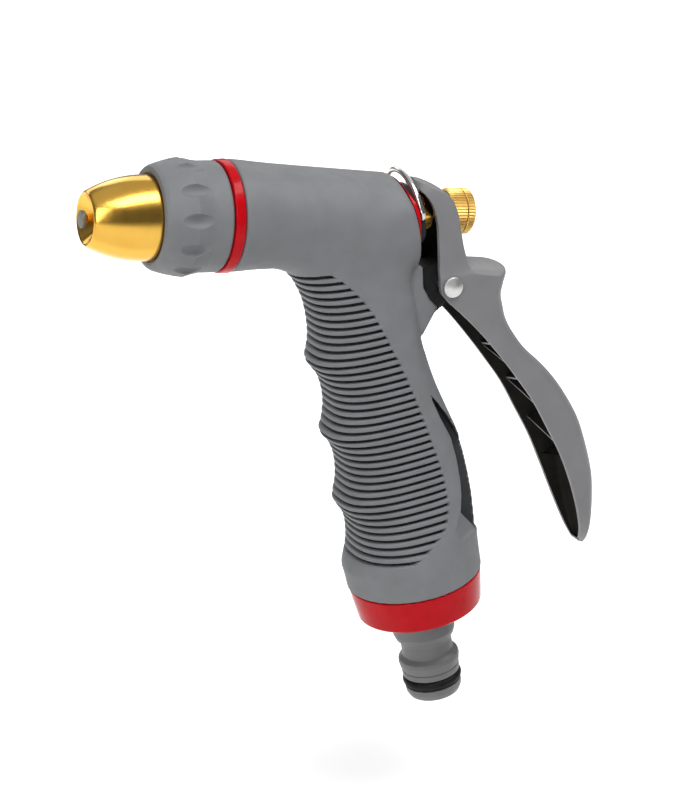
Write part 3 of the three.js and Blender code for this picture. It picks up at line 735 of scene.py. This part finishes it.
# ---- grip: distance fields in the design frame ---------------------------------------------------
GRIP_BACK = keyed([(0, 13.2), (6, 12.9), (20, 12.3), (36, 12.1), (44, 12.9), (52, 14.3),
                   (60, 16.35), (68, 18.45), (76, 19.65), (86, 20.1), (92, 19.9), (100, 19.45),
                   (107.6, 19.05), (112, 19)])
GRIP_FRONT = keyed([(0, 34), (3, 30), (6, 26.2), (8, 23.68), (10, 21.2), (12, 19.75), (14, 18.63),
                    (16, 17.96), (18, 17.34), (20, 16.89), (22, 16.63), (26, 16.53), (30, 16.86),
                    (32, 17.29), (34, 17.94), (36, 18.85), (37, 19.0), (38, 18.84), (40, 17.86),
                    (42, 16.81), (44, 16.23), (48, 15.87), (52, 16.24), (54, 16.85), (56, 17.52),
                    (58, 18.6), (58.8, 18.7), (60, 18.33), (62, 17.1), (64, 16.5), (66, 15.97),
                    (70, 15.95), (74, 16.59), (76, 17.32), (78, 18.11), (79.6, 18.5), (82, 17.55),
                    (84, 16.65), (86, 16.19), (88, 16.03), (92, 16.33), (94, 16.79), (96, 17.52),
                    (98, 18.72), (100, 19.6), (102, 19.49), (104, 19.3), (107.6, 19.05), (112, 19)])
GRIP_HALF = keyed([(0, 9.5), (6, 11), (20, 12.4), (60, 12.9), (82, 13.4), (92, 15.4), (100, 17.8),
                   (107.6, 19), (112, 19)])
GRIP_POWER = keyed([(0, 2.6), (82, 2.6), (100, 2), (112, 2)])
BARREL_TOP = keyed([(30, 15), (39, 14.85), (46, 14.1), (52, 13.45), (71, 11.75), (100, 9.3)])
BARREL_BOTTOM = keyed([(30, 14.7), (39, 14.55), (46, 14.15), (52, 14), (71, 13.3), (100, 12.6)])
BARREL_HALF = keyed([(30, 15), (39, 14.75), (46, 14.2), (52, 14.1), (100, 14.1)])


def oval(u, v, reach_u, reach_v, power):
    """Distance to a superellipse, good near its outline."""
    a, b = np.abs(u) / reach_u, np.abs(v) / reach_v
    sum_p = np.maximum(a ** power + b ** power, 1e-6)
    full = sum_p ** (1 / power)
    less = power - 1
    slope = np.sqrt((a ** less / reach_u) ** 2 + (b ** less / reach_v) ** 2) / full ** less
    return (full - 1) / np.maximum(slope, 0.02)


def handle_side(xi, y, s):
    reach = np.where(xi > 0, GRIP_BACK(s), GRIP_FRONT(s))
    return oval(xi, y, reach, GRIP_HALF(s), GRIP_POWER(s))


def barrel_side(x, y, z):
    top, bottom = BARREL_TOP(x), BARREL_BOTTOM(x)
    return oval(z - (top - bottom) / 2, y, (top + bottom) / 2, BARREL_HALF(x), 2)


def step_up(t):
    t = np.clip(t, 0, 1)
    return t * t * (3 - 2 * t)


def blend_width(xi):
    return 1.5 + 6 * step_up((xi + 22) / 16)


def grip_outside(x, y, z):
    """Barrel and handle with their smooth join and rounded ends."""
    xi, s = xi_of(x, z), s_of(x, z)
    barrel = smax(smax(barrel_side(x, y, z), BARREL_X - x, 0.9), xi - REAR_XI, 1.6)
    handle = smax(smax(handle_side(xi, y, s), s - HANDLE_END, 0.5), 4 - s, 3)
    return smin(barrel, handle, blend_width(xi))


def grip_inside(x, y, z, wall):
    xi, s = xi_of(x, z), s_of(x, z)
    barrel = np.maximum(barrel_side(x, y, z) + wall + 0.2, xi - REAR_XI + wall)
    handle = np.maximum(handle_side(xi, y, s) + wall, 7 - s)
    return smin(barrel, handle, 3)


GUSSET = [(6, 17), (13.3, 17), (15.2, 18.2), (14.4, 24), (15.6, 27.7), (17.5, 30.6), (11.9, 37),
          (6, 37)]
LEAF = [(9.3, 52.5), (11.4, 60.5), (13.6, 67), (14.1, 73), (14.1, 79.9), (13.4, 84.1),
        (11.8, 88.4), (9, 92.2), (4.5, 94.8), (9.1, 95.4), (12.1, 95.6), (15.7, 96.3), (18, 97.3),
        (21, 98.6), (21, 78), (18.8, 72), (16.6, 66.1), (14, 60.5), (11.6, 56)]
WEB_HALF, RAMP_HALF, RAMP_SLOPE = 3.2, 8, 0.6
RAMP_XI, RAMP_S, RAMP_LEAN = 13.8, 90.9, 1.64
PANEL_EDGE = [(11.2, -12.3), (15.9, -8.1), (24.7, -3.3), (35.6, 0.2), (46.6, 3.2), (57.6, 5.5),
              (68.8, 7.5), (77.7, 8.6), (84.5, 8.5), (88.5, 7), (91.3, 5.0), (95.2, -1.2),
              (97.3, -5.9)]
PANEL_REAR = keyed(PANEL_EDGE)
PITCH, FIRST_GROOVE, GROOVES = 2.167, 12.57, 40
GROOVE = 1.0
GROOVE_LEAN = math.radians(11.5)


def groove_depth_of(x, z):
    """Distance down the handle across the leaning planes of the grooves."""
    along = (x - HANDLE_X) * math.sin(GROOVE_LEAN) - z * math.cos(GROOVE_LEAN)
    return along / math.cos(RAKE - GROOVE_LEAN)


def panel(xi, s):
    """Region of the ribbed panel, round the front from side to side: negative inside."""
    return (xi - PANEL_REAR(s)) * 0.92


def panel_field(x, y, z):
    """Negative in the opening of the ribbed panel, from the first groove to the last."""
    xi, s = xi_of(x, z), s_of(x, z)
    level = groove_depth_of(x, z)
    middle, half = FIRST_GROOVE + PITCH * (GROOVES - 1) / 2, (PITCH * (GROOVES - 1) + GROOVE) / 2
    return np.maximum(np.abs(level - middle) - half, panel(xi, s))


def rear_opening(x, y, z, grow):
    xi, s = xi_of(x, z), s_of(x, z)
    d = oval(y, (s - REAR_S), 10.1 + grow, (10.1 + grow) * REAR_SQUASH, 2)
    return np.maximum(d, 9 - xi)


LUG_R, LUG_HALF = 5.3, 4.5


def lug_distance(x, y, z, grow):
    """Rear lug for the trigger's pin, in the handle frame."""
    xi, s = xi_of(x, z), s_of(x, z)
    pin_xi, pin_s = xi_of(PIVOT.x, PIVOT.z), s_of(PIVOT.x, PIVOT.z)
    eye = np.hypot(xi - pin_xi, s - pin_s) - LUG_R
    side = [(6, 18.6), (pin_xi - 1, pin_s - LUG_R), (pin_xi + 2.5, pin_s + 4.7), (13, 35), (6, 35)]
    arm = outline_distance(side, xi, s)
    return smax(np.minimum(eye, arm) - grow, np.abs(y) - LUG_HALF - grow, 0.6)


def ramp_start(xi, s):
    """Positive on the ramp that closes a pocket's lower end."""
    return s - RAMP_S - RAMP_LEAN * (xi - RAMP_XI)


def pocket_floor(xi, s):
    """Distance of a pocket's floor from the middle plane."""
    start = ramp_start(xi, s)
    return np.where(start < 0, WEB_HALF, RAMP_HALF + RAMP_SLOPE * start)


def pocket_field(x, y, z):
    """Negative in the leaf-shaped pockets beside the grip's rear web."""
    xi, s = xi_of(x, z), s_of(x, z)
    return np.maximum(outline_distance(LEAF, xi, s), pocket_floor(xi, s) - np.abs(y))


def cover_field(x, y, z):
    xi, s = xi_of(x, z), s_of(x, z)
    gusset = smax(outline_distance(GUSSET, xi, s), np.abs(y) - 7.4, 1.2)
    body = smin(grip_outside(x, y, z), gusset, 0.5)
    solid_web = outline_distance(LEAF, xi, s) - 1
    body = np.maximum(body, -np.maximum(grip_inside(x, y, z, 2.6), -solid_web))
    body = np.maximum(body, -rear_opening(x, y, z, 0))
    body = np.maximum(body, -lug_distance(x, y, z, 0.3))
    body = smax(body, -pocket_field(x, y, z), 0.4)
    return np.maximum(body, -panel_field(x, y, z))


RIB_DEPTH = 1.15
RIB_LAP = 0.55  # how far a rib's ends run into the cover
# A rib's section: share of its width, rise over the grip's outside (None: its underside).
RIB_EDGE = [(0, -0.16), (0.05, -0.06), (0.15, 0), (0.5, 0.03), (0.85, 0), (0.95, -0.06),
            (1, -0.16), (1, None), (0, None)]


def on_surface(level, angle):
    """Points where rays from the handle's axis, in a groove's plane, meet the grip's outside."""
    x0, z0 = HANDLE_X + level * SIN, -level * COS
    forward, dy = -np.cos(angle), np.sin(angle)
    dx, dz = forward * math.cos(GROOVE_LEAN), forward * math.sin(GROOVE_LEAN)
    near, far = np.full(np.shape(angle), 3.0), np.full(np.shape(angle), 45.0)
    for _ in range(18):
        middle = (near + far) / 2
        inside = grip_outside(x0 + middle * dx, middle * dy, z0 + middle * dz) < 0
        near, far = np.where(inside, middle, near), np.where(inside, far, middle)
    return near, (x0, z0, dx, dy, dz)


def rib_reach(levels):
    """Angle from the front to where a rib's edges meet the panel's border."""
    angles = np.linspace(0, 2.9, 220)
    reach = 0
    for level in levels:
        r, (x0, z0, dx, dy, dz) = on_surface(np.full(len(angles), level), angles)
        x, z = x0 + r * dx, z0 + r * dz
        last = np.nonzero(panel(xi_of(x, z), s_of(x, z)) < 0)[0]
        if len(last):
            reach = max(reach, angles[last[-1]] + RIB_LAP / r[last[-1]])
    return reach


def make_ribs():
    """Ribs between the grooves, each a closed bar lying on the grip's outside."""
    verts, faces, count = [], [], 0
    along, wide = 140, len(RIB_EDGE)
    for n in range(GROOVES - 1):
        level_a = FIRST_GROOVE + n * PITCH + GROOVE / 2
        level_b = level_a + PITCH - GROOVE
        reach = rib_reach((level_a, level_b))
        if not reach:
            continue
        angles = np.linspace(-reach, reach, along)
        rows = []
        for share, rise in RIB_EDGE:
            level = np.full(along, level_a + (level_b - level_a) * share)
            r, (x0, z0, dx, dy, dz) = on_surface(level, angles)
            r = r + (-RIB_DEPTH if rise is None else rise)
            rows.append(np.stack([x0 + r * dx, r * dy, z0 + r * dz], 1))
        verts.append(np.stack(rows, 1).reshape(-1, 3))
        for i in range(along - 1):
            for k in range(wide):
                a, b = count + i * wide + k, count + i * wide + (k + 1) % wide
                faces.append((a, a + wide, b + wide, b))
        faces.append(tuple(range(count, count + wide)))
        faces.append(tuple(range(count + (along - 1) * wide, count + along * wide))[::-1])
        count += along * wide
    return np.vstack(verts), faces


def paint_pocket_shade(mesh):
    """Paints shade on the pockets' inner faces with the darker painted-shade material."""
    mesh.materials.append(POCKET_PAINTED_SHADE)
    spots = (np.array([face.center[:] for face in mesh.polygons]) - np.array(ORIGIN)) / MM
    x, y, z = spots.T
    xi, s = xi_of(x, z), s_of(x, z)
    above_ramp = (ramp_start(xi, s) < 0.3) | (np.abs(y) < pocket_floor(xi, s) - 0.4)
    deep = (outline_distance(LEAF, xi, s) < 0.5) & above_ramp & (grip_outside(x, y, z) < -0.4)
    for face, dark in zip(mesh.polygons, deep):
        face.material_index = int(dark)


def make_cover():
    lo, hi = np.array(low("grip_cover")), np.array(high("grip_cover"))
    verts, faces = surface_net(cover_field, lo - 1, hi + 1, 0.55)
    verts = np.clip(verts, lo - 0.2, hi + 0.2)
    rib_verts, rib_faces = make_ribs()
    faces = faces.tolist() + [tuple(v + len(verts) for v in face) for face in rib_faces]
    cover = piece("grip_moulded", np.vstack([verts, rib_verts]), faces, "frame_body", "rubber_grey",
                  ["grip_cover"], 38)
    # The pockets' inner faces get painted shade.
    paint_pocket_shade(cover.data)


def tube(xi_or_y, other, radius):
    return np.hypot(xi_or_y, other) - radius


def between(value, start, end):
    return np.abs(value - (start + end) / 2) - (end - start) / 2


def core_field(x, y, z):
    xi, s = xi_of(x, z), s_of(x, z)
    under_ribs = np.maximum(grip_inside(x, y, z, 1.0), panel_field(x, y, z) + 0.02)
    handle = np.minimum(grip_inside(x, y, z, 2.9), under_ribs)
    handle = np.maximum(handle, np.maximum(s - 107.1, 38.9 - x))
    barrel = np.maximum(tube(y, z, 11.6), between(x, 25.1, 45))
    boss = np.maximum(oval(y, s - REAR_S, 9.8, 9.8 * REAR_SQUASH, 2), between(xi, 9.5, 17.2))
    foot = np.maximum(tube(xi, y, np.interp(s, [100, 107], [14.3, 15.5])), between(s, 100, 116.8))
    body = np.minimum(np.minimum(handle, barrel), np.minimum(smax(boss, xi - 17.2, 0.8), foot))
    body = np.minimum(body, lug_distance(x, y, z, 0))
    for start, end, radius in ((20, 38, 9.8), (30, 46, 8.2), (40, 80, 6.2), (70, 100, 2.1), (87, 100, 4.9)):
        body = np.maximum(body, -np.maximum(tube(y, z, radius), between(x, start, end)))
    for start, end, radius in ((0, 106, 5), (106, 120, 8)):
        body = np.maximum(body, -np.maximum(tube(xi, y, radius), between(s, start, end)))
    leaf = np.maximum(outline_distance(LEAF, xi, s) - 0.2, WEB_HALF - 0.3 - np.abs(y))
    pin_hole = tube(x - PIVOT.x, z - PIVOT.z, PIN_HOLE_R)
    return np.maximum(body, -np.minimum(leaf, pin_hole))


def make_core():
    lo, hi = np.array(low("body_core")), np.array(high("body_core"))
    verts, faces = surface_net(core_field, lo - 1, hi + 1, 0.7)
    verts = np.clip(verts, lo - 0.2, hi + 0.2)
    core = piece("core_cast", verts, faces.tolist(), "frame_body", "cast_black", ["body_core"], 38)
    # The core's faces inside the pockets get painted shade too.
    paint_pocket_shade(core.data)


# ---- trigger --------------------------------------------------------------------------------------
# Sections from the hood's nose to the paddle's tip: front rim x, z; back x, z; half width; how far
# the sides curve in from the back; how far they drop.
TRIGGER = [
    (91, 8.3, 91.4, 9.4, 1.8, 0.3, 0), (91.6, 7.3, 93, 9.2, 4.2, 0.8, 0),
    (93, 5.9, 95.5, 8.5, 5.9, 1, 0), (94.6, 3.8, 98.4, 7.2, 6.9, 1, 0), (95.8, 1, 101, 5.2, 7.4, 1, 0),
    (96.8, -2.5, 102.9, 1.9, 7.6, 1, 0), (97.5, -7, 104.3, -2.8, 7.6, 1, 0),
    (98, -11.5, 105.6, -7.5, 7.7, 1, 0), (98.1, -14, 106.9, -11.4, 8, 1, 0),
    (98.1, -15.5, 107.8, -13.2, 8.6, 1.5, 0.5), (98.1, -16.8, 110.5, -13.8, 9.2, 2.5, 0.8),
    (98.1, -18, 115, -14.1, 9.4, 3.5, 0.9), (98.2, -19, 119.3, -14.4, 9.5, 4.8, 0.9),
    (98.5, -20, 120.4, -15.3, 9.5, 5.3, 0.7), (99.2, -21.2, 120.0, -18.0, 9.5, 5.3, 0),
    (101.5, -23.3, 119.6, -21.6, 9.5, 5.3, 0), (105.5, -26.5, 120.5, -25.2, 9.5, 5.3, 0),
    (110, -30.4, 121.7, -28.8, 9.8, 5.2, 0), (114.5, -34.8, 124.2, -32.8, 10.2, 5, 0),
    (119.6, -40.2, 128.7, -38, 10.5, 4.8, 0), (124.7, -46, 135.2, -43.4, 10.5, 4.5, 0),
    (129.7, -52, 140.8, -49.2, 10.5, 4.5, 0), (135, -60, 146.8, -57.6, 10.5, 4.5, 0),
    (140.2, -68.1, 150.8, -66.4, 10.3, 4.5, 0), (144.4, -76.2, 153.7, -75, 9.8, 4.2, 0),
    (148, -84, 155.2, -83.4, 8.7, 3.8, 0), (151, -91, 155.9, -90.8, 6.7, 2.6, 0),
    (152.6, -95, 156, -95.4, 4.5, 1.8, 0), (153.6, -97.4, 155.6, -97.9, 2.2, 0.8, 0)]
HOLLOW_START, HOLLOW_END, WALL = 2, 27, 1.3
HOLLOW_TIP = (153.2, -96.5, 155.8, -96.9, 3.1, 1.2, 0)
STATIONS = 7  # sections cut between two rows of the table


def trigger_section(row, inset, opened):
    front, back = np.array([row[0], 0, row[1]]), np.array([row[2], 0, row[3]])
    half, curl, drop = row[4:7]
    forward = (front - back) / np.linalg.norm(front - back)
    front, back, width = front + forward * opened, back + forward * inset, half - inset
    u = np.sin(np.linspace(-np.pi / 2, np.pi / 2, 33))[:, None]
    bend = curl * (1 - np.sqrt(1 - u ** 2)) * width / half
    points = back + forward * bend + np.array([0, 0, -drop]) * u ** 4 + np.array([0, width, 0]) * u
    side = np.array([0, width, 0])
    return np.vstack([front - side, points, front + side])


def loft(name, sections):
    """Closed mesh object through sections of the same number of points."""
    wide, total = len(sections[0]), len(sections)
    verts = np.vstack(sections + [sections[0].mean(0), sections[-1].mean(0)])
    faces = []
    for i in range(total - 1):
        for k in range(wide):
            a, b = i * wide + k, i * wide + (k + 1) % wide
            faces.append((a, b, b + wide, a + wide))
    for k in range(wide):
        n = (k + 1) % wide
        faces.append((total * wide, n, k))
        faces.append((total * wide + 1, (total - 1) * wide + k, (total - 1) * wide + n))
    return solid(name, verts, faces)


def solid(name, verts, faces):
    """Temporary object in design millimetres, turned so that its faces look out."""
    verts = np.asarray(verts, dtype=float)
    volume = 0
    for f in faces:
        for i in range(1, len(f) - 1):
            volume += np.dot(verts[f[0]], np.cross(verts[f[i]], verts[f[i + 1]]))
    mesh = bpy.data.meshes.new(name)
    mesh.from_pydata(verts.tolist(), [], [list(map(int, f if volume > 0 else f[::-1])) for f in faces])
    return new_object(name, mesh)


def box(centre, size, turn=None):
    corners = np.array([[i, j, k] for i in (-0.5, 0.5) for j in (-0.5, 0.5) for k in (-0.5, 0.5)]) * size
    if turn is not None:
        corners = corners @ turn.T
    sides = [(0, 1, 3, 2), (4, 6, 7, 5), (0, 4, 5, 1), (2, 3, 7, 6), (0, 2, 6, 4), (1, 5, 7, 3)]
    return solid("box", corners + np.array(centre), sides)


def combine(base, operation, *tools):
    """Boolean of temporary objects; the tools are used up."""
    for tool in tools:
        change = base.modifiers.new("change", "BOOLEAN")
        change.operation, change.solver, change.object = operation, "EXACT", tool
        shape = bpy.data.meshes.new_from_object(base.evaluated_get(bpy.context.evaluated_depsgraph_get()))
        base.modifiers.clear()
        base.data = shape
        bpy.data.objects.remove(tool)
    return base


def trigger_shell(name, rows, inset, opened):
    dense = spline(rows, STATIONS * (len(rows) - 1))
    return loft(name, [trigger_section(row, inset, opened) for row in dense])


def web_plates():
    """Zig-zag stiffening webs across the paddle's channel."""
    start, run, count, wide = np.array([118.5, -35.0]), np.array([31.5, -52.5]), 9, 20
    slope, pitch = math.atan2(run[1], run[0]), np.hypot(*run) / count
    plates = []
    for i in range(count):
        lean = (1 if i % 2 else -1) * math.atan2(pitch, wide)
        x, z = start + run * (i + 0.5) / count
        turn = np.array(Matrix.Rotation(-slope, 3, "Y") @ Matrix.Rotation(lean, 3, "Z"))
        plates.append(box((x, 0, z), (0.6, math.hypot(wide, pitch), 44), turn))
    return combine(plates[0], "UNION", *plates[1:])


def outline_of(obj):
    """Search tree over a temporary object's faces."""
    mesh = obj.data
    return BVHTree.FromPolygons([v.co[:] for v in mesh.vertices], [list(p.vertices) for p in mesh.polygons])


def paint_channel_shade(mesh, hollow, webs):
    """Paints shade on the channel's inner faces and the webs' sides with the near-black painted-shade material."""
    for face in mesh.polygons:
        spot = (Vector(face.center) - ORIGIN) / MM
        inner = hollow.find_nearest(spot)[3] < 0.03
        side = webs.find_nearest(spot)[3] < 0.02 and face.normal.x > -0.7
        face.material_index = 1 if inner or side else 0


def make_trigger():
    rows = np.array(TRIGGER, dtype=float)
    shell = trigger_shell("shell", rows, 0, 0)
    hollow_rows = np.vstack([rows[HOLLOW_START:HOLLOW_END + 1], HOLLOW_TIP])
    hollow = trigger_shell("hollow", hollow_rows, WALL, 3)
    hollow_outline = outline_of(hollow)
    body = combine(shell, "DIFFERENCE", hollow)
    keep_in = trigger_shell("keep_in", rows, 0.5, 0)
    set_back = trigger_shell("set_back", rows, 0, 0)
    set_back.location = (1.7, 0, 0.8)
    webs = combine(web_plates(), "INTERSECT", keep_in, set_back)
    web_outline = outline_of(webs)
    body = combine(body, "UNION", webs)
    verts, faces = lathe([(101.5, 0), (101.5, KNOB_R + 0.6), (114, KNOB_R + 0.6), (114, 0)], 48)
    spot = solid("spot", verts, faces)
    verts, faces = lathe([(-12, 0), (-12, PIN_HOLE_R), (12, PIN_HOLE_R), (12, 0)], 32)
    hole = solid("hole", along_y(verts, PIVOT.x, PIVOT.z), faces)
    body = combine(body, "DIFFERENCE", box((103, 0, 0.3), (20, 5, 8.4)), spot, hole)
    verts = np.array([v.co[:] for v in body.data.vertices])
    faces = [list(p.vertices) for p in body.data.polygons]
    bpy.data.objects.remove(body)
    trigger = piece("trigger_moulded", verts, faces, "trigger_body", "plastic_grey", ["trigger"], 32)
    # The channel's inner faces and the webs' sides get the painted-shade material.
    trigger.data.materials.append(CHANNEL_PAINTED_SHADE)
    paint_channel_shade(trigger.data, hollow_outline, web_outline)


for make in (make_tip, make_stem, make_collar, make_front_ring, make_rear_ring, make_base_ring,
             make_connector, make_gland, make_pin, make_wire, make_cover, make_core, make_trigger):
    make()
make_nut("flow_nut_knurled", 101.8, 106.1, 0.5, 0.15, "flow_nut_body", "flow_nut")
make_nut("lock_nut_knurled", 106.4, 108.6, 0.15, 0.5, "lock_nut_body", "lock_nut")

# ---- floor, light and world ---------------------------------------------------------------------
FLOOR_DROP = 0.03  # the nozzle is shown held a little above the floor
# Glow of the white table, lit from below: distance to the back in metres, strength.
FLOOR_GLOW = [(-0.06, 0), (0.0, 0.34), (0.42, 0.62)]
WORLD_GLOW = [(0.62, 0.11), (0.85, 0.5)]  # studio walls and sky: height, brightness
LIGHTS_AIM = Vector((75, 0, -50))
# Name, direction, distance and size in metres, power in watts.
LIGHTS = [("overhead", (0.15, -0.35, 0.9), 1.1, (1.3, 0.4), 10.6),
          ("front_left", (-0.9, -0.9, 0.55), 1.5, (0.35, 1.1), 7.8),
          ("back", (0.6, 1.0, 0.8), 1.6, (1.5, 0.8), 5),
          ("far_side", (-0.15, 1.0, 0.48), 1.6, (1.1, 0.5), 2.5)]


def make_floor():
    size, level = 8.0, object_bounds()[0].z - FLOOR_DROP
    corners = [(-size, -size, level), (size, -size, level), (size, size, level), (-size, size, level)]
    mesh = bpy.data.meshes.new("floor")
    mesh.from_pydata(corners, [], [(0, 1, 2, 3)])
    floor = new_object("floor", mesh)
    m = Nodes("floor")
    m.set(Base_Color=m.ramp(m.noise(3, 2), (0.88, 0.88, 0.88), (0.90, 0.90, 0.90)))
    m.set(Roughness=m.span(m.noise(5, 2), 0.85, 0.95))
    rear = m.add("SeparateXYZ", Vector=m.place).outputs["Y"]
    glow = m.add("ValToRGB", Fac=m.span(rear, 0, 1, -0.5, 0.5))
    stops = glow.color_ramp.elements
    stops.new(0.5)
    for stop, (y, value) in zip(stops, FLOOR_GLOW):
        stop.position, stop.color = 0.5 + y, (value, value, value, 1)
    m.set(Emission_Color=(1, 1, 1, 1), Emission_Strength=glow.outputs[0])
    mesh.materials.append(m.material)


def make_world():
    """Studio walls: dim near the horizon and pale overhead."""
    world = bpy.data.worlds.new("studio")
    world.use_nodes = True
    tree = world.node_tree
    background = tree.nodes["Background"]
    place = tree.nodes.new("ShaderNodeTexCoord")
    parts = tree.nodes.new("ShaderNodeSeparateXYZ")
    ramp = tree.nodes.new("ShaderNodeValToRGB")
    tree.links.new(place.outputs["Generated"], parts.inputs[0])
    tree.links.new(parts.outputs["Z"], ramp.inputs[0])
    tree.links.new(ramp.outputs[0], background.inputs[0])
    for stop, (height, value) in zip(ramp.color_ramp.elements, WORLD_GLOW):
        stop.position, stop.color = height, (value, value, value, 1)
    background.inputs[1].default_value = 1.0
    bpy.context.scene.world = world


def area_light(name, toward, distance, size, power):
    data = bpy.data.lights.new(name, "AREA")
    data.shape = "RECTANGLE"
    data.size, data.size_y = size
    data.energy = power
    light = new_object(name, data)
    centre = ORIGIN + LIGHTS_AIM * MM
    toward = Vector(toward).normalized()
    light.location = centre + toward * distance
    light.rotation_mode = "QUATERNION"
    light.rotation_quaternion = toward.to_track_quat("Z", "Y")


make_floor()
make_world()
for light in LIGHTS:
    area_light(*light)
bpy.context.scene.view_settings.view_transform = "Standard"
bpy.context.scene.view_settings.look = "None"
